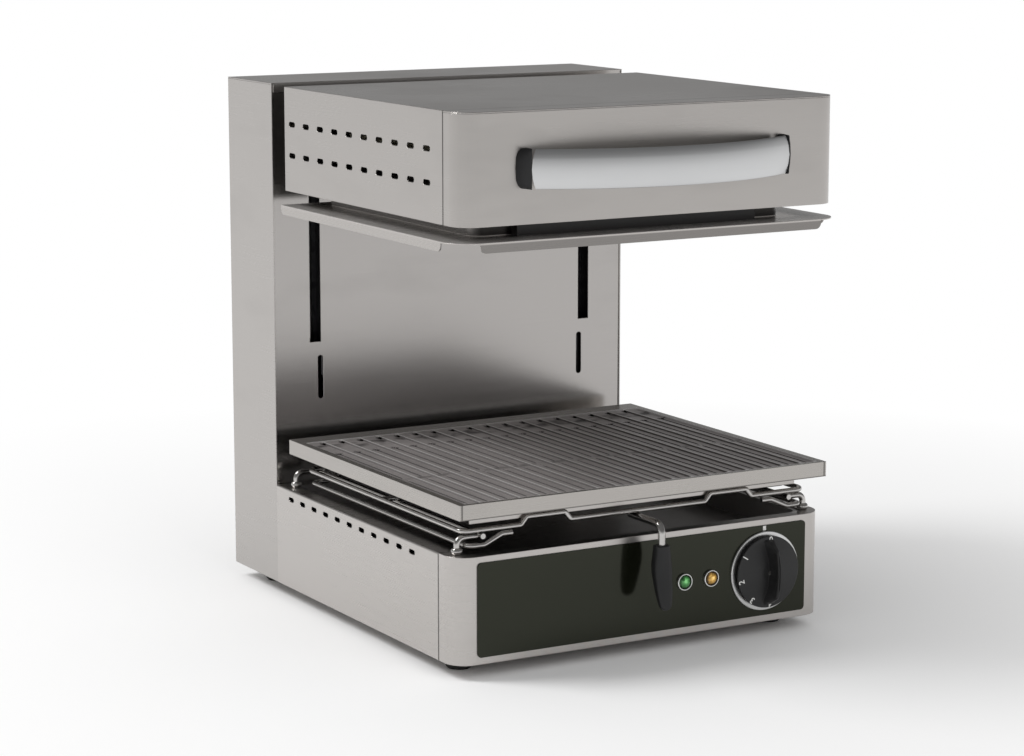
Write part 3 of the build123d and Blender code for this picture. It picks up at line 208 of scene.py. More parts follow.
# finishes, each a material of its own
def brushedStainless(name, tint=(0.505, 0.482, 0.463), dull=0.29, cloud=0.03, soften=0.0009,
                     shade=None, dustAndLight=None):
    # long fine grain: noise squeezed across the grain, one lay for upright faces and one for level ones;
    # shade is a wire from 0 to 1 that darkens the steel: painted shade where a place is shut in, with heat
    # burn and dark joint lines in places; the last wire turns it pale and matt, part dust and part painted
    # light
    r = newRecipe(name)
    upright = r.noise((14, 14, 1500), detail=3)
    level = r.noise((14, 1500, 14), detail=3)
    lying = r.between(0.5, 0.8, r.size(r.part("Z", "Normal")))
    grain = r.numbers(lying, upright, level)
    drift = r.noise((5, 5, 5), detail=2)
    smear = r.between(0.54, 0.72, r.noise((3.5, 3.5, 11), detail=4, rough=0.6))
    colour = r.colours(grain * 0.6 + drift * 0.4, scaled(tint, 1 - cloud * 1.6), scaled(tint, 1 + cloud))
    colour = r.colours(smear * 0.10, colour, scaled(tint, 0.6))
    metal = 1.0
    if shade:
        # painted shade, with burn and joint lines in places, mixed in the soot colour
        colour = r.colours(shade(r), colour, scaled(dirtLightAndShade["sootAndShade"]))
    if dustAndLight:
        # painted light with some dust: a pale matt coat that also lowers the metal
        pale = dustAndLight(r)
        colour = r.colours(pale, colour, scaled(dirtLightAndShade["dustAndLightColour"]))
        metal = 1 - pale * 0.72
    return r.finish(**{
        "Base Color": colour, "Metallic": metal,
        "Roughness": dull + (grain - 0.5) * 0.10 + (drift - 0.5) * 0.06 + smear * 0.05,
        "Normal": r.bump(grain, 0.00002, 0.5, r.softEdges(soften))})


def skirtShade(r):
    # painted shade with some heat burn: the wall above the flange, under the head, is darkened most of all at
    # the front, and the lips get a little painted shade, the front lip the most
    height = r.part("Z")
    ahead = r.part("Y", "Normal") * -1
    wall = r.between(*skirtPlaces["wall"], height) * (0.62 + r.between(0.4, 0.9, ahead) * 0.34)
    lip = (1 - r.between(*skirtPlaces["lip"], height)) * (0.08 + r.between(0.5, 0.9, ahead) * 0.46)
    return r.most(wall, lip)


def skirtDustAndLight(r):
    # a streaked pale matt strip on the flange's top, along its outer edge: painted light, with some dust
    height = r.part("Z")
    streak = r.between(0.40, 0.66, r.noise((40, 12, 1), detail=4, rough=0.65))
    fromSide = skirtPlaces["halfWidth"] - r.size(r.part("X"))
    fromFront = r.part("Y") - skirtPlaces["front"]
    strip = 1 - r.between(*skirtPlaces["strip"], r.least(fromSide, fromFront))
    top = r.between(*skirtPlaces["flangeFoot"], height) * (1 - r.between(*skirtPlaces["flangeTop"], height))
    return top * strip * (1 - streak * 0.25)


def frameShade(r):
    # on the front face, dark lines at the corner joints at its two ends, and painted shade where it meets the
    # tray
    facing = r.between(0.5, 0.9, r.part("Y", "Normal") * -1)
    aside = r.size(r.size(r.part("X")) - framePlaces["corner"])
    corner = (1 - r.between(*framePlaces["cornerLine"], aside)) * 0.75
    bottom = (1 - r.between(*framePlaces["bottomLine"], r.part("Z") - framePlaces["bottom"])) * 0.70
    return r.most(corner, bottom) * facing


def wellDustAndLight(r):
    # painted light with some dust: a pale matt coat, thicker towards the shaded right end
    dustAndLightColour = r.between(0.35, 0.70, r.noise((9, 4, 9), detail=3))
    return r.between(-0.10, 0.12, r.part("X")) * (0.45 + dustAndLightColour * 0.55)


def seamShade(seam):
    # painted shade along the joint behind a front cover
    def shade(r):
        return (1 - r.between(*seams["line"], r.size(r.part("Y") - seams[seam]))) * 0.72

    return shade


def polishedWire(name, tint=(0.56, 0.545, 0.53), dull=0.16):
    # drawn wire: faint blotches and a slight orange peel
    r = newRecipe(name)
    drift = r.noise((60, 60, 60), detail=3)
    fine = r.noise((900, 900, 900), detail=2)
    return r.finish(**{
        "Base Color": r.colours(drift, scaled(tint, 0.86), scaled(tint)),
        "Metallic": 1.0, "Roughness": dull + drift * 0.08 + fine * 0.03,
        "Normal": r.bump(fine, 0.00002, 0.35)})


def glossyPanel(name):
    # printed glass-like sheet, nearly black with a green cast
    r = newRecipe(name)
    drift = r.noise((9, 9, 9))
    return r.finish(**{
        "Base Color": r.colours(
            drift, wideColour(0.0044, 0.0050, 0.0030), wideColour(0.0076, 0.0084, 0.0050)),
        "Roughness": 0.10 + drift * 0.05, "Specular IOR Level": 0.40, "Specular Tint": (0.96, 1.0, 0.80),
        "Normal": r.bump(r.noise((320, 320, 320)), 0.00001, 0.3, r.softEdges(0.0006))})


def mouldedPlastic(name, shade, dull=0.42, grit=1400.0, depth=0.00004):
    # spark-eroded mould skin: fine grit in the bump and in the roughness
    r = newRecipe(name)
    skin = r.noise((grit, grit, grit), detail=2)
    drift = r.noise((40, 40, 40))
    return r.finish(**{
        "Base Color": r.colours(drift, scaled(shade, 0.85), scaled(shade, 1.12)),
        "Roughness": dull + (skin - 0.5) * 0.16, "Specular IOR Level": 0.45,
        "Normal": r.bump(skin, depth, 0.5, r.softEdges(0.0004))})


def matteRubber(name):
    r = newRecipe(name)
    skin = r.noise((700, 700, 700), detail=4)
    return r.finish(**{
        "Base Color": r.colours(skin, wideColour(0.012, 0.012, 0.012), wideColour(0.026, 0.025, 0.024)),
        "Roughness": 0.62 + skin * 0.2, "Normal": r.bump(skin, 0.0001, 0.4)})


def satinAluminium(name, tint=(0.64, 0.645, 0.65), dull=0.32):
    # sanded lengthways: grain lines follow the bar, closer together up its height
    r = newRecipe(name)
    grain = r.noise((18, 18, 2600), detail=3)
    drift = r.noise((20, 20, 60))
    return r.finish(**{
        "Base Color": r.colours(grain * 0.5 + drift * 0.5, scaled(tint, 0.88), scaled(tint)),
        "Metallic": 1.0, "Roughness": dull + (grain - 0.5) * 0.12,
        "Normal": r.bump(grain, 0.00002, 0.5)})


def turnedAluminium(name, centre, tint=(0.74, 0.74, 0.735)):
    # lathe rings about the dial's centre
    r = newRecipe(name)
    across = r.part("X") - centre[0]
    up = r.part("Z") - centre[1]
    radius = (across * across + up * up) ** 0.5
    rings = r.node("ShaderNodeTexNoise", {"noise_dimensions": "1D"}, {
        "W": radius, "Scale": 5200.0, "Detail": 2.0})
    return r.finish(**{
        "Base Color": r.colours(rings, scaled(tint, 0.85), scaled(tint)),
        "Metallic": 1.0, "Roughness": 0.26 + rings * 0.12, "Normal": r.bump(rings, 0.00002, 0.6)})


def grateSteel(name):
    # pressed steel that has seen heat: crests painted near white as a painted highlight, rib walls given
    # painted shade by their facing, brown-grey flats blotched by old grease, and painted shade near the back
    # ends of the flats and at the bridges between the drains
    r = newRecipe(name)
    along = r.part("Y")
    # painted shade near the back ends of the flats and at the drain bridges, blotched by noise
    sootAndShade = r.between(*gratePlaces["shadeFront"], along) * (1 - r.between(*gratePlaces["shadeBack"], along))
    fromBridge = r.size(along + gratePlaces["bridge"])
    sootAndShade = r.most(sootAndShade, (1 - r.between(*gratePlaces["bridgeShade"], fromBridge)) * 0.6)
    sootAndShade = sootAndShade * r.between(0.42, 0.60, r.noise((55, 55, 55), detail=4))
    crestHighlight = r.between(gratePlaces["valley"], gratePlaces["crest"], r.part("Z"))
    blotch = r.noise((26, 9, 26), detail=5)
    speck = r.noise((700, 700, 700), detail=3)
    draw = r.noise((900, 9, 900), detail=3)
    stainAndShade = r.colours(
        blotch * 0.7 + draw * 0.3, wideColour(0.44, 0.410, 0.405), wideColour(0.60, 0.560, 0.553))
    # painted shade: rib walls darkened the more they face sideways, mixed over the stains
    wall = r.between(0.25, 0.60, r.size(r.part("X", "Normal"))) * 0.75
    stainAndShade = r.colours(r.most(sootAndShade * 0.8, wall), stainAndShade, scaled(dirtLightAndShade["grateShade"]))
    # painted highlight: the crests painted near white
    colour = r.colours(crestHighlight ** 5.0, stainAndShade, wideColour(0.88, 0.86, 0.85))
    return r.finish(**{
        "Base Color": colour, "Metallic": 0.72,
        "Roughness": 0.48 - crestHighlight * 0.14 + (blotch - 0.5) * 0.12 + (speck - 0.5) * 0.08,
        "Normal": r.bump(draw, 0.00004, 0.4)})


def galvanisedSteel(name):
    # zinc spangle: cells of slightly different grey
    r = newRecipe(name)
    cells = r.node("ShaderNodeTexVoronoi", {}, {"Vector": r.placed((160, 160, 160)), "Scale": 1.0}, "Color")
    shade = r.node("ShaderNodeSeparateColor", {}, {"Color": cells}, "Red")
    return r.finish(**{
        "Base Color": r.colours(shade, wideColour(0.085, 0.085, 0.088), wideColour(0.15, 0.152, 0.155)),
        "Metallic": 1.0, "Roughness": 0.36 + shade * 0.14, "Normal": r.bump(shade, 0.00002, 0.3)})


def blackEnamel(name, dull=0.34):
    r = newRecipe(name)
    peel = r.noise((260, 260, 260), detail=2)
    drift = r.noise((25, 25, 25), detail=3)
    return r.finish(**{
        "Base Color": r.colours(drift, wideColour(0.010, 0.009, 0.009), wideColour(0.026, 0.023, 0.022)),
        "Roughness": dull + peel * 0.10, "Normal": r.bump(peel, 0.00006, 0.4)})


def elementSheath(name):
    # heat-oxidised tube: blue-brown bloom over dark nickel steel
    r = newRecipe(name)
    bloom = r.noise((22, 22, 22), detail=4)
    speck = r.noise((900, 900, 900), detail=2)
    colour = r.ramp(bloom, [
        (0.3, (0.075, 0.062, 0.058)), (0.5, (0.12, 0.095, 0.082)), (0.7, (0.085, 0.085, 0.10))])
    return r.finish(**{
        "Base Color": colour, "Metallic": 0.75, "Roughness": 0.45 + speck * 0.15,
        "Normal": r.bump(speck, 0.00004, 0.4)})


def mineralWool(name):
    r = newRecipe(name)
    fibres = r.noise((90, 900, 900), detail=5)
    return r.finish(**{
        "Base Color": r.colours(fibres, wideColour(0.42, 0.38, 0.26), wideColour(0.66, 0.62, 0.48)),
        "Roughness": 0.95, "Normal": r.bump(fibres, 0.0006, 0.6)})


def lampLens(name, deep, middle, bright, centre, aside):
    # coloured cover that glows a little: a painted highlight up and to the left of its middle, and a nearly
    # black edge
    r = newRecipe(name)
    facets = r.node("ShaderNodeTexVoronoi", {}, {"Vector": r.placed((420, 420, 420)), "Scale": 1.0}, "Color")
    facet = r.node("ShaderNodeSeparateColor", {}, {"Color": facets}, "Red")

    def away(point):
        return r.node("ShaderNodeVectorMath", {"operation": "DISTANCE"}, {
            0: r.coordinates(), 1: point}, "Value")

    patch = (centre[0] + aside[0], centre[1], centre[2] + aside[1])
    edge = r.between(0.0028, 0.0056, away(centre) + (facet - 0.5) * 0.0012)
    # painted highlight
    paintedGlint = 1 - r.between(0.0014, 0.0031, away(patch) + (facet - 0.5) * 0.0016)
    colour = r.colours(paintedGlint, r.colours(edge, scaled(middle), scaled(deep)), scaled(bright))
    return r.finish(**{
        "Base Color": colour, "Roughness": 0.14 + facet * 0.08, "Coat Weight": 0.5,
        "Emission Color": colour, "Emission Strength": 0.46,
        "Normal": r.bump(facet, 0.0003, 0.5)})


def whitePrint(name):
    r = newRecipe(name)
    ink = r.noise((2500, 2500, 2500))
    return r.finish(**{
        "Base Color": r.colours(ink, wideColour(0.72, 0.72, 0.70), wideColour(0.86, 0.86, 0.84)),
        "Roughness": 0.5})


# the base, head, column, column front, skirt and grate frame finishes are one stainless steel in tints set
# lighter or darker part by part: painted light and shade for how light falls on each
finishes = {
    "brushed_stainless": brushedStainless("brushedStainless"),
    "base_shell": brushedStainless("baseStainless", (0.525, 0.501, 0.481), shade=seamShade("base")),
    "head_shell": brushedStainless("headStainless", (0.462, 0.441, 0.423), shade=seamShade("head")),
    "column_shell": brushedStainless("columnStainless", (0.478, 0.457, 0.439)),
    "heat_skirt": brushedStainless("skirtStainless", (0.53, 0.503, 0.482), 0.27, 0.05, 0.0006,
                                   skirtShade, skirtDustAndLight),
    "column_front": brushedStainless("columnFrontStainless", (0.435, 0.417, 0.403), 0.215, 0.05),
    "dark_stainless": brushedStainless("wellStainless", (0.41, 0.392, 0.386), 0.29, 0.16, dustAndLight=wellDustAndLight),
    "tray_steel": brushedStainless("trayStainless", (0.13, 0.121, 0.116), 0.42, 0.12),
    "grate_frame": brushedStainless("grateFrameSteel", (0.45, 0.428, 0.405), 0.26, 0.07, 0.0006, frameShade),
    "grate_steel": grateSteel("grateSteel"),
    "bright_steel": polishedWire("brightSteel"),
    "bezel_chrome": polishedWire("bezelChrome", (0.90, 0.90, 0.89), 0.24),
    "galvanised_steel": galvanisedSteel("galvanisedSteel"),
    "satin_aluminium": satinAluminium("satinAluminium"),
    "gloss_black": glossyPanel("glossBlack"),
    "black_plastic": mouldedPlastic("blackPlastic", (0.016, 0.016, 0.0165)),
    "grip_plastic": mouldedPlastic("gripPlastic", (0.0105, 0.0105, 0.0112), 0.50),
    "dark_grey_plastic": mouldedPlastic("darkGreyPlastic", (0.014, 0.014, 0.015), 0.56),
    "pale_plastic": mouldedPlastic("palePlastic", (0.62, 0.60, 0.55), 0.45),
    "black_rubber": matteRubber("blackRubber"),
    "black_enamel": blackEnamel("blackEnamel"),
    "element_sheath": elementSheath("elementSheath"),
    "mineral_wool": mineralWool("mineralWool"),
    "green_lens": lampLens("greenLens", (0.004, 0.030, 0.006), (0.035, 0.20, 0.04), (0.22, 0.60, 0.22),
                           (0.0414, -0.2130, 0.064), (-0.0006, 0.0010)),
    "amber_lens": lampLens("amberLens", (0.035, 0.018, 0.004), (0.50, 0.28, 0.05), (0.95, 0.66, 0.22),
                           (0.0708, -0.2130, 0.064), (-0.0006, 0.0006)),
}
print("finishes made")

# each CAD node takes the finish of its own material slot
nodeSlots = {entry["node"]: entry["material_slot"] for entry in frame["record"]["subparts"]}


def dress(node, finish):
    thing = frame["nodes"][node]
    thing.data.materials.clear()
    thing.data.materials.append(finish)


for node in frame["nodes"]:
    dress(node, finishes[nodeSlots.get(node, "brushed_stainless")])
for node, finish in (("grate_frame", "grate_frame"), ("drip_tray", "tray_steel"),
                     ("heat_skirt", "heat_skirt"), ("column_front_panel", "column_front"),
                     ("column_shell", "column_shell"), ("base_side_left", "base_shell"),
                     ("base_side_right", "base_shell"), ("base_front_cover", "base_shell"),
                     ("head_casing", "head_shell"), ("head_front_cover", "head_shell")):
    dress(node, finishes[finish])
print("CAD nodes dressed:", sorted(set(nodeSlots.values())))


# shape helpers
def gridFaces(rows, columns, wrapRows=False, wrapColumns=False):
    # a quad between each two neighbouring rows and columns of a grid of points
    r = np.arange(rows if wrapRows else rows - 1)[:, None]
    c = np.arange(columns if wrapColumns else columns - 1)[None, :]
    r, c = np.broadcast_arrays(r, c)
    nextRow, nextColumn = (r + 1) % rows, (c + 1) % columns
    quads = [r * columns + c, r * columns + nextColumn, nextRow * columns + nextColumn, nextRow * columns + c]
    return np.stack(quads, -1).reshape(-1, 4)


def shell(points, wrapRows=False, wrapColumns=True, ends=True):
    # points is rows x columns x 3; the first and last rows are closed by flat ends
    rows, columns = points.shape[:2]
    faces = gridFaces(rows, columns, wrapRows, wrapColumns).tolist()
    if ends and not wrapRows:
        faces.append(list(range(columns))[::-1])
        faces.append(list(range((rows - 1) * columns, rows * columns)))
    return points.reshape(-1, 3), faces


def newPiece(name, shells, body, finish, replaced=(), sharp=38.0):
    vertices, faces, start = [], [], 0
    for points, corners in shells:
        vertices.append(points)
        faces += [[start + corner for corner in face] for face in corners]
        start += len(points)
    mesh = bpy.data.meshes.new(name)
    mesh.from_pydata((np.concatenate(vertices) * toMetres).tolist(), [], faces)
    work = bmesh.new()
    work.from_mesh(mesh)
    bmesh.ops.remove_doubles(work, verts=work.verts, dist=1e-7)
    bmesh.ops.dissolve_degenerate(work, edges=work.edges, dist=1e-7)
    bmesh.ops.recalc_face_normals(work, faces=work.faces)
    work.to_mesh(mesh)
    work.free()
    mesh.polygons.foreach_set("use_smooth", np.ones(len(mesh.polygons), bool))
    mesh.set_sharp_from_angle(angle=math.radians(sharp))
    mesh.materials.append(finish)
    thing = bpy.data.objects.new(name, mesh)
    bpy.context.scene.collection.objects.link(thing)
    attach(thing, body)
    if replaced:
        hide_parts(*replaced)
    return thing


def squared(wave, power):
    # a cosine or sine pushed towards a square wave, for rounded-box sections
    return np.sign(wave) * np.abs(wave) ** power


def turned(profile, centre, axis, steps=48):
    # profile is rows of (radius, distance along the axis), carried round the axis
    axis = np.array(axis, float)
    side = np.cross(axis, (0.0, 0.0, 1.0) if abs(axis[2]) < 0.9 else (1.0, 0.0, 0.0))
    side /= np.linalg.norm(side)
    other = np.cross(axis, side)
    angle = np.linspace(0, 2 * np.pi, steps, endpoint=False)[None, :, None]
    profile = np.array(profile, float)
    radius, along = profile[:, 0][:, None, None], profile[:, 1][:, None, None]
    return np.array(centre, float) + along * axis + radius * (np.cos(angle) * side + np.sin(angle) * other)


def arcPoints(centreRadius, centreAlong, radius, start, stop, count):
    # quarter turns and the like for a turned profile, angles in degrees
    angle = np.radians(np.linspace(start, stop, count))
    return np.stack([centreRadius + radius * np.cos(angle), centreAlong + radius * np.sin(angle)], -1)


# handle
handle = {
    "bowRadius": 259.5, "bowCentre": -13.0, "endAngle": 31.61, "level": 458.5,
    "height": 35.0, "thickness": 5.0, "crown": 2.4, "squareness": 0.30,
    "endCrown": 0.75, "capRootOut": 145.0, "capRootIn": 131.0, "capHeight": 35.5, "capFace": -221.0,
    "capCorner": 5.0, "capBulge": 1.1, "capSquareness": 0.25,
}


def handleBar():
    # a squashed rounded-box section, pushed back by crown times its height squared, carried round the bow
    turn = np.linspace(0, 2 * np.pi, 72, endpoint=False)[None, :]
    across = squared(np.cos(turn), handle["squareness"])
    up = squared(np.sin(turn), handle["squareness"])
    angle = np.linspace(-1, 1, 97)[:, None] * np.radians(handle["endAngle"] - handle["endCrown"] * up ** 2)
    half = handle["thickness"] / 2
    radius = handle["bowRadius"] - half + half * across - handle["crown"] * up ** 2 * (across + 1) / 2
    x = radius * np.sin(angle)
    y = handle["bowCentre"] - radius * np.cos(angle)
    z = handle["level"] + up * handle["height"] / 2 + 0 * angle
    return shell(np.stack([x, y, z], -1))


def handleCap(side):
    # blends from a block on the head's face to the bar's end; the block's outer corners are cut by a power of
    # the height, and the cut fades towards the bar
    share = np.linspace(0, 1, 25)[:, None]
    turn = np.linspace(0, 2 * np.pi, 72, endpoint=False)[None, :]
    endAngle = math.radians(handle["endAngle"])
    outer = np.array([math.sin(endAngle), -math.cos(endAngle)]) * handle["bowRadius"]
    inner = outer * (1 - handle["thickness"] / handle["bowRadius"])
    outer, inner = outer + (0, handle["bowCentre"]), inner + (0, handle["bowCentre"])
    rootOut, rootIn = (np.array([handle[key], handle["capFace"]]) for key in ("capRootOut", "capRootIn"))
    out = rootOut + (outer - rootOut) * share
    into = rootIn + (inner - rootIn) * share
    across = squared(np.cos(turn), handle["capSquareness"])
    up = squared(np.sin(turn), handle["capSquareness"])
    middle, reach = (out + into) / 2, (out - into) / 2
    bulge = handle["capBulge"] * np.sin(np.pi * share) * (across + 1) / 2 * (1 - up ** 2)
    cut = handle["capCorner"] * np.abs(up) ** 4 * (across + 1) / 2 * (1 - share)
    x = side * (middle[:, :1] + reach[:, :1] * across + bulge - cut)
    y = middle[:, 1:] + reach[:, 1:] * across - bulge * 0.6
    z = handle["level"] + up * handle["capHeight"] / 2
    return shell(np.stack([x, y, z + 0 * y], -1))


newPiece("handleBar", [handleBar()], "head", finishes["satin_aluminium"],
         ("handle_bar",), 60)
for side, hand in ((-1, "left"), (1, "right")):
    newPiece(f"handleCap_{hand}", [handleCap(side)], "head",
             finishes["dark_grey_plastic"], (f"handle_cap_{hand}",), 60)
print("handle made")

# knob, dial ring and index mark
dial = {
    "x": 131.0, "z": 64.0, "panelFace": -210.5, "ringRadius": 38.0, "ringBore": 30.0, "ringThickness": 2.0,
    "back": -216.0, "hub": 20.0, "hubDepth": 2.5, "radius": 34.4, "rim": 2.1, "edgeRound": 0.8,
    "rise": 3.4, "riseFrom": 33.4, "riseTo": 9.0,
    "ridgeReach": 19.4, "ridgeSink": 0.8, "footHalf": 31.5, "crestHalf": 23.0, "crestDrop": 3.6,
    "footWide": 8.7, "waist": 1.6, "flare": 2.2, "roundFrom": 0.93, "roundBy": 0.8, "ridgeSquareness": 0.42,
    "figureHeight": 8.2, "figureRadius": 31.2, "figureProud": 0.12,
    "figures": (("0", -4), ("1", 58), ("2", 102), ("3", 144), ("4", 184)),
    "markSize": (3.4, 4.2), "markLevel": 104.9,
}


def knobFace(radius):
    # how far the disc's face lies ahead of its back: the rim, then an even climb to the middle
    climb = np.clip((dial["riseFrom"] - radius) / (dial["riseFrom"] - dial["riseTo"]), 0, 1)
    return dial["rim"] + dial["rise"] * climb


def knobDisc():
    # a hub behind, a thin rounded rim and a face that climbs towards the ridge
    r, t, e = dial["radius"], dial["rim"], dial["edgeRound"]
    hub, depth = dial["hub"], dial["hubDepth"]
    inward = np.linspace(dial["riseFrom"], 0, 20)
    profile = np.concatenate([
        [(0.0, -depth), (hub, -depth), (hub, 0.0), (r - 0.6, 0.0), (r, 0.6)],
        arcPoints(r - e, t - e, e, 0, 90, 9),
        np.stack([inward, knobFace(inward)], -1)[1:],
    ])
    return shell(turned(profile, (dial["x"], dial["back"], dial["z"]), (0, -1, 0), 96), ends=False)


def knobRidge():
    # upright wall at the waist; towards both ends the foot flares out by a power of the height, less and less
    # up to the crest, and the crest drops by the square of the height
    share = np.concatenate([np.linspace(0, dial["roundFrom"], 24), [0.965, 0.988, 1.0]])[:, None]
    turn = np.linspace(0, 2 * np.pi, 120, endpoint=False)[None, :]
    rounding = dial["roundBy"] * np.clip((share - dial["roundFrom"]) / (1 - dial["roundFrom"]), 0, 1) ** 2
    tall = dial["footHalf"] + (dial["crestHalf"] - dial["footHalf"]) * share ** 1.2 - rounding
    across = squared(np.cos(turn), dial["ridgeSquareness"])
    z = tall * squared(np.sin(turn), dial["ridgeSquareness"])
    flare = np.abs(z / dial["footHalf"]) ** dial["flare"] * (1 - share)
    wide = dial["waist"] + (dial["footWide"] - dial["waist"]) * flare - rounding
    drop = dial["crestDrop"] * share ** 2 * (z / dial["crestHalf"]) ** 2
    reach = (dial["ridgeReach"] + dial["ridgeSink"]) * share - drop
    x = dial["x"] + wide * across
    y = dial["back"] - dial["rim"] + dial["ridgeSink"] - reach
    return shell(np.stack([x, y, dial["z"] + z], -1))


def printedFigures(name):
    # figures of the dial, each turned so that its top points outwards, laid on the disc's sloping face
    shells = []
    for text, degrees in dial["figures"]:
        curve = bpy.data.curves.new("figure", "FONT")
        curve.body = text
        curve.align_x, curve.align_y = "CENTER", "CENTER"
        curve.size = dial["figureHeight"]
        curve.extrude = dial["figureProud"]
        curve.offset = 0.12
        curve.resolution_u = 4
        holder = bpy.data.objects.new("figure", curve)
        bpy.context.scene.collection.objects.link(holder)
        mesh = bpy.data.meshes.new_from_object(holder.evaluated_get(bpy.context.evaluated_depsgraph_get()))
        flat = np.zeros(len(mesh.vertices) * 3)
        mesh.vertices.foreach_get("co", flat)
        flat = flat.reshape(-1, 3)
        flat[:, :2] -= (flat[:, :2].max(0) + flat[:, :2].min(0)) / 2
        angle = math.radians(degrees)
        right = np.array([math.cos(angle), 0, math.sin(angle)])
        upward = np.array([-math.sin(angle), 0, math.cos(angle)])
        points = flat[:, :1] * right + (flat[:, 1:2] + dial["figureRadius"]) * upward
        ahead = knobFace(np.hypot(points[:, 0], points[:, 2])) + dial["figureProud"] + flat[:, 2]
        points[:, 1] = dial["back"] - ahead
        faces = [list(face.vertices) for face in mesh.polygons]
        shells.append((points + np.array([dial["x"], 0, dial["z"]]), faces))
        bpy.data.objects.remove(holder)
        bpy.data.meshes.remove(mesh)
    return newPiece(name, shells, "knob", finishes["white_print"])


finishes["white_print"] = whitePrint("whitePrint")
finishes["dial_ring"] = turnedAluminium("turnedAluminium", (dial["x"] * toMetres, dial["z"] * toMetres))
newPiece("controlKnob", [knobDisc(), knobRidge()], "knob", finishes["black_plastic"],
         ("control_knob",), 42)
printedFigures("knobFigures")
ringProfile = np.concatenate([
    [(dial["ringBore"], 0.0), (dial["ringRadius"], 0.0)],
    arcPoints(dial["ringRadius"] - 0.9, dial["ringThickness"] - 0.9, 0.9, 0, 90, 7),
    [(dial["ringBore"], dial["ringThickness"]), (dial["ringBore"], 0.0)],
])
ring = turned(ringProfile, (dial["x"], dial["panelFace"], dial["z"]), (0, -1, 0), 128)
newPiece("dialRing", [shell(ring, ends=False)], "root", finishes["dial_ring"],
         ("dial_ring",), 40)
markX, markZ = (side / 2 for side in dial["markSize"])
markRing = np.array([(-markX, -markZ), (markX, -markZ), (markX, markZ), (-markX, markZ)])
mark = np.stack([np.stack([dial["x"] + markRing[:, 0], np.full(4, y), dial["markLevel"] + markRing[:, 1]], -1)
                 for y in (dial["panelFace"] + 0.1, dial["panelFace"] - 0.12)])
newPiece("indexMark", [shell(mark)], "root", finishes["white_print"])
print("knob made")

# lamps
lamps = {
    "green": 41.4, "amber": 70.8, "z": 64.0, "face": -210.5, "bezelRadius": 8.0, "bezelBore": 6.9,
    "bezelHeight": 2.5, "collarBore": 5.8, "collarHeight": 0.5, "lensRadius": 6.3, "lensDome": 3.3,
    "sides": 12, "facets": ((0.78, 0.55), (0.40, 0.92)),
}
bezelProfile = np.concatenate([
    [(lamps["bezelBore"], 0.0), (lamps["bezelRadius"], 0.0)],
    arcPoints(lamps["bezelRadius"] - 0.5, lamps["bezelHeight"] - 0.5, 0.5, 0, 90, 6),
    arcPoints(lamps["bezelBore"] + 0.3, lamps["bezelHeight"] - 0.3, 0.3, 90, 180, 5),
    [(lamps["bezelBore"], 0.0)],
])
collarProfile = [
    (lamps["collarBore"], 0.0), (lamps["bezelBore"], 0.0), (lamps["bezelBore"], lamps["collarHeight"]),
    (lamps["collarBore"], lamps["collarHeight"]), (lamps["collarBore"], 0.0),
]
for name, profile, slotName, finish, replaced in (
        ("lampBezels", bezelProfile, "bright_steel", "bezel_chrome", ("lamp_bezels",)),
        ("lampCollars", collarProfile, "black_enamel", "black_enamel", ())):
    rings = [turned(profile, (lamps[hue], lamps["face"], lamps["z"]), (0, -1, 0), 56)
             for hue in ("green", "amber")]
    newPiece(name, [shell(points, ends=False) for points in rings], "root", finishes[finish],
             replaced, 50)
for hue in ("green", "amber"):
    # a cut lens: few sides and few steps, so that its flats show
    shoulder = lamps["bezelHeight"] / 2
    lensProfile = [(0.0, 0.0), (lamps["lensRadius"], 0.0), (lamps["lensRadius"], shoulder),
                   *((lamps["lensRadius"] * out, shoulder + lamps["lensDome"] * rise)
                     for out, rise in lamps["facets"]),
                   (0.0, shoulder + lamps["lensDome"])]
    lens = turned(lensProfile, (lamps[hue], lamps["face"], lamps["z"]), (0, -1, 0), lamps["sides"])
    newPiece(f"{hue}Lens", [shell(lens, ends=False)], "root", finishes[f"{hue}_lens"],
             (f"{hue}_lens",), 12)
print("lamps made")

# lever grip
grip = {
    "top": 109.0, "y": -235.8, "length": 60.0, "drops": (0.0, 21.7, 46.0, 60.0),
    "wide": (14.0, 19.0, 16.0, 10.0), "thick": (12.0, 14.0, 9.5, 6.0), "lean": (0.0, 0.0, 5.0, 8.0),
    "tipRound": 5.0, "topRound": 1.2, "ease": 4.0, "squareness": 0.62, "step": 0.6,
}


def leverGrip():
    # widths, thicknesses and leans run straight between four depths and are eased by the mean of two
    # readings; the tip and the top edge close as quarter circles
    closing = 1 - np.cos(np.linspace(0, np.pi / 2, 12))
    tipFrom = grip["length"] - grip["tipRound"]
    drop = np.concatenate([
        grip["topRound"] * closing, np.linspace(grip["topRound"] + grip["step"], tipFrom - grip["step"], 40),
        grip["length"] - grip["tipRound"] * closing[::-1]])[:, None]
    turn = np.linspace(0, 2 * np.pi, 64, endpoint=False)[None, :]

    def eased(key):
        return (np.interp(drop - grip["ease"], grip["drops"], grip[key])
                + np.interp(drop + grip["ease"], grip["drops"], grip[key])) / 2

    tip = np.clip((drop - grip["length"] + grip["tipRound"]) / grip["tipRound"], 0, 1)
    crown = np.clip(1 - drop / grip["topRound"], 0, 1)
    shut = np.sqrt(np.clip(1 - tip ** 2, 0, 1))
    soft = grip["topRound"] * (1 - np.sqrt(1 - crown ** 2))
    x = (eased("wide") / 2 * shut - soft) * squared(np.cos(turn), grip["squareness"])
    deep = (eased("thick") / 2 * shut - soft) * squared(np.sin(turn), grip["squareness"])
    y = grip["y"] - eased("lean") + deep
    z = grip["top"] - drop + 0 * turn
    return shell(np.stack([x, y, z], -1))


newPiece("leverGrip", [leverGrip()], "carriage", finishes["grip_plastic"],
         ("lever_grip",), 50)
print("grip made")

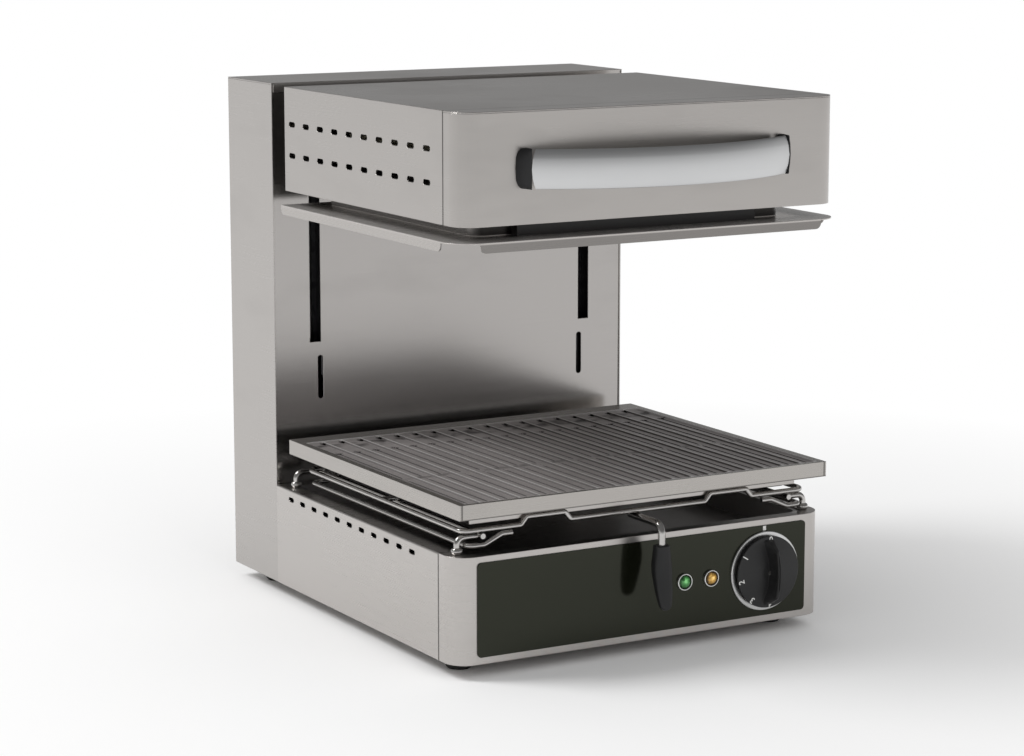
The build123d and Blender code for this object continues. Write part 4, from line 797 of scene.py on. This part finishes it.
# grommets under the stand's feet
grommet = {
    "x": 188.0, "front": -190.8, "back": 139.3, "level": 113.2, "radius": 5.5, "height": 6.0, "bore": 3.0,
}


def standGrommet(x, y):
    # a squat ball, flat where it stands, turned about the foot
    angle = np.linspace(-np.pi / 2 * 0.78, np.pi / 2, 16)
    radius = grommet["bore"] + (grommet["radius"] - grommet["bore"]) * np.cos(angle)
    along = grommet["height"] * (0.47 + 0.53 * np.sin(angle))
    along[0] = 0.0
    wall = [(grommet["bore"], 0.0)]
    profile = np.concatenate([wall, np.stack([radius, along], -1), wall])
    return shell(turned(profile, (x, y, grommet["level"]), (0, 0, 1), 40), ends=False)


newPiece("standGrommets", [standGrommet(side * grommet["x"], y) for side in (-1, 1)
                           for y in (grommet["front"], grommet["back"])],
         "root", finishes["bright_steel"], ("stand_grommets",), 50)
print("grommets made")

# ribbed grate plate
grate = {
    "half": 190.7, "front": -210.7, "back": 111.0, "top": 162.8, "thickness": 1.4,
    "pitch": 20.4, "count": 18, "rise": 1.6, "crestHalf": 0.9, "footFrom": 2.5,
    "drainHalf": 1.0, "drainFront": -202.7, "drainBack": 57.0, "holeRadius": 3.5,
    "bridge": -82.0, "bridgeHalf": 3.0, "frontRamp": 7.0, "backRamp": 9.0, "sideRim": 4.0,
    "nickFrom": -3.5, "nickTo": -1.0, "nickFront": 98.0, "nickBack": 106.0,
}


def gratePlate():
    # height falls from each crest to the valley as a smooth step of the distance from the rib, and every
    # valley runs out to the rim at its two ends; drains, their round ends and the nicks at the ribs are
    # faces left out
    ribSteps = np.array([0.0, 0.4, 0.8, 1.2, 1.6, 2.0, 2.5])
    valleySteps = np.array([0.0, 1.0, 1.8, 2.6, 3.1, 3.5, 6.7])
    ribs = (np.arange(grate["count"]) - (grate["count"] - 1) / 2) * grate["pitch"]
    valleys = (np.arange(grate["count"] + 1) - grate["count"] / 2) * grate["pitch"]
    spread = [ribs[:, None] + np.concatenate([-ribSteps, ribSteps]), valleys[:, None]
              + np.concatenate([-valleySteps, valleySteps])]
    inner = grate["half"] - grate["sideRim"]
    rims = [-grate["half"], -inner, inner, grate["half"]]
    x = np.unique(np.round(np.concatenate([spread[0].ravel(), spread[1].ravel(), rims]), 3))
    x = x[np.abs(x) <= grate["half"]]
    holeRows = grate["drainBack"] - grate["holeRadius"] + grate["holeRadius"] * np.linspace(-1, 1, 13)
    y = np.unique(np.round(np.concatenate([
        np.linspace(grate["front"], grate["front"] + grate["frontRamp"], 9),
        np.linspace(grate["back"] - grate["backRamp"], grate["back"], 11), holeRows,
        np.linspace(grate["front"] + grate["frontRamp"], grate["back"] - grate["backRamp"], 24),
        [grate["drainFront"], grate["bridge"] - grate["bridgeHalf"], grate["bridge"] + grate["bridgeHalf"],
         grate["nickFront"], grate["nickBack"]]]), 3))
    gap = np.abs(x[None, :] - ribs[:, None]).min(0)
    slope = np.clip((gap - grate["crestHalf"] * 0.4) / (grate["footFrom"] - grate["crestHalf"] * 0.4), 0, 1)
    rim = np.clip((grate["half"] - np.abs(x)) / grate["sideRim"], 0, 1)
    fall = slope ** 2 * (3 - 2 * slope) * rim
    start = np.clip((y - grate["front"]) / grate["frontRamp"], 0, 1)
    stop = np.clip((grate["back"] - y) / grate["backRamp"], 0, 1)
    ends = (start ** 2 * (3 - 2 * start)) * (stop ** 2 * (3 - 2 * stop))
    z = grate["top"] - grate["rise"] * fall[None, :] * ends[:, None]
    points = np.stack([np.broadcast_to(x, z.shape), np.broadcast_to(y[:, None], z.shape), z], -1)
    middleX, middleY = ((x[1:] + x[:-1]) / 2)[None, :], ((y[1:] + y[:-1]) / 2)[:, None]
    aside = np.abs(middleX - valleys[:, None]).min(0)[None, :]
    fromRib = middleX[0] - ribs[np.abs(middleX - ribs[:, None]).argmin(0)]
    slotted = (middleY > grate["drainFront"]) & (middleY < grate["drainBack"] - 1)
    bridged = np.abs(middleY - grate["bridge"]) <= grate["bridgeHalf"]
    drain = (aside < grate["drainHalf"]) & slotted & ~bridged
    hole = np.hypot(aside, middleY - grate["drainBack"] + grate["holeRadius"]) < grate["holeRadius"]
    nick = ((fromRib > grate["nickFrom"]) & (fromRib < grate["nickTo"]))[None, :] & (
        (middleY > grate["nickFront"]) & (middleY < grate["nickBack"]))
    faces = gridFaces(len(y), len(x))[~(drain | hole | nick).ravel()]
    return points.reshape(-1, 3), faces.tolist()


plate = newPiece("gratePlate", [gratePlate()], "grate", finishes["grate_steel"],
                 ("grate_plate",), 60)
thicken = plate.modifiers.new("sheet", "SOLIDIFY")
thicken.thickness = grate["thickness"] * toMetres
thicken.offset = -1.0
print("grate plate made")

# front edge of the drip tray, turned over and down
trayRim = {
    "half": 176.5, "front": -193.0, "back": -190.9, "top": 148.0, "sheet": 0.8, "lip": 8.6, "bend": 1.0,
}


def trayFlange():
    # a hooked section, the level sheet and the quarter bend down to the lip, carried along the front
    outer = np.concatenate([[(trayRim["back"], trayRim["top"])], arcPoints(
        trayRim["front"] + trayRim["bend"], trayRim["top"] - trayRim["bend"], trayRim["bend"], 90, 180, 6),
        [(trayRim["front"], trayRim["top"] - trayRim["lip"])]])
    inner = outer + np.array([(0, -1), *[(0.7, -0.7)] * 6, (1, 0)]) * trayRim["sheet"]
    section = np.concatenate([outer, inner[::-1]])
    x = np.array([-1.0, 1.0])[:, None] * (trayRim["half"] + 0 * section[None, :, 0])
    y, z = (np.broadcast_to(section[:, part], x.shape) for part in (0, 1))
    return shell(np.stack([x, y, z], -1))


newPiece("trayFlange", [trayFlange()], "tray", finishes["brushed_stainless"], (), 30)
print("tray flange made")

# floor, world and lights
studio = {
    "floorShade": 0.97, "floorSize": 60.0,
    "paleFrom": 0.26, "paleTo": 1.15, "shineFrom": 0.26, "shineTo": 0.95,
    "worldLevel": 0.62, "horizonLevel": 0.88, "skyLevel": 0.22, "skyFrom": 0.0, "skyTo": 0.24,
    "keyPlace": (-2.3, 1.3, 2.8), "keySize": 1.6, "keyPower": 78.0,
    "fillPlace": (0.3, -3.4, 2.4), "fillSize": 2.6, "fillPower": 26.0, "lightAim": (0, 0, 0.25),
}
floorMesh = bpy.data.meshes.new("floor")
reach = studio["floorSize"] / 2
floorMesh.from_pydata([(-reach, -reach, 0), (reach, -reach, 0), (reach, reach, 0), (-reach, reach, 0)], [],
                      [(0, 1, 2, 3)])
floor = bpy.data.objects.new("floor", floorMesh)
bpy.context.scene.collection.objects.link(floor)

# the paint shows the object's shadow, and away from the object it turns to plain white for what the camera,
# polished metal and glass see; metal sees it turn sooner
paint = newRecipe("floorPaint")
away = paint.node("ShaderNodeVectorMath", {"operation": "LENGTH"}, {0: paint.coordinates()}, "Value")
seenWhite = paint.between(studio["paleFrom"], studio["paleTo"], away)
shinyWhite = paint.between(studio["shineFrom"], studio["shineTo"], away)
eye = paint.node("ShaderNodeLightPath", {}, {}, "Is Camera Ray")
glint = (paint.node("ShaderNodeLightPath", {}, {}, "Is Glossy Ray")
         + paint.node("ShaderNodeLightPath", {}, {}, "Is Transmission Ray"))
matt = paint.node("ShaderNodeBsdfDiffuse", {}, {"Color": wideColour(*(studio["floorShade"],) * 3)})
white = paint.node("ShaderNodeEmission", {}, {"Color": wideColour(1, 1, 1), "Strength": 1.0})
whiteShare = seenWhite * eye + shinyWhite * glint
floorLook = paint.node("ShaderNodeMixShader", {}, {0: whiteShare, 1: matt, 2: white})
paint.node("ShaderNodeOutputMaterial", {}, {"Surface": floorLook})
floorMesh.materials.append(paint.owner)

world = bpy.data.worlds.new("studio")
bpy.context.scene.world = world
sky = Recipe(world)
height = sky.node("ShaderNodeSeparateXYZ", {}, {"Vector": sky.coordinates("Generated")}, "Z")
climb = sky.between(studio["skyFrom"], studio["skyTo"], height)
mirrored = sky.numbers(climb, studio["horizonLevel"], studio["skyLevel"])
seen = sky.node("ShaderNodeLightPath", {}, {}, "Is Camera Ray")
shiny = sky.node("ShaderNodeLightPath", {}, {}, "Is Glossy Ray")
level = sky.numbers(shiny, studio["worldLevel"], mirrored)
level = sky.numbers(seen, level, 1.0)
background = sky.node("ShaderNodeBackground", {}, {"Strength": level})
sky.node("ShaderNodeOutputWorld", {}, {"Surface": background})


def softLight(name, place, size, power, mirrored=True):
    lamp = bpy.data.lights.new(name, "AREA")
    lamp.shape = "DISK"
    lamp.size = size
    lamp.energy = power
    thing = bpy.data.objects.new(name, lamp)
    bpy.context.scene.collection.objects.link(thing)
    thing.location = place
    thing.visible_glossy = mirrored
    thing.rotation_euler = (Vector(studio["lightAim"]) - Vector(place)).to_track_quat("-Z", "Y").to_euler()


softLight("keyLight", studio["keyPlace"], studio["keySize"], studio["keyPower"])
softLight("fillLight", studio["fillPlace"], studio["fillSize"], studio["fillPower"], False)
print("studio made")
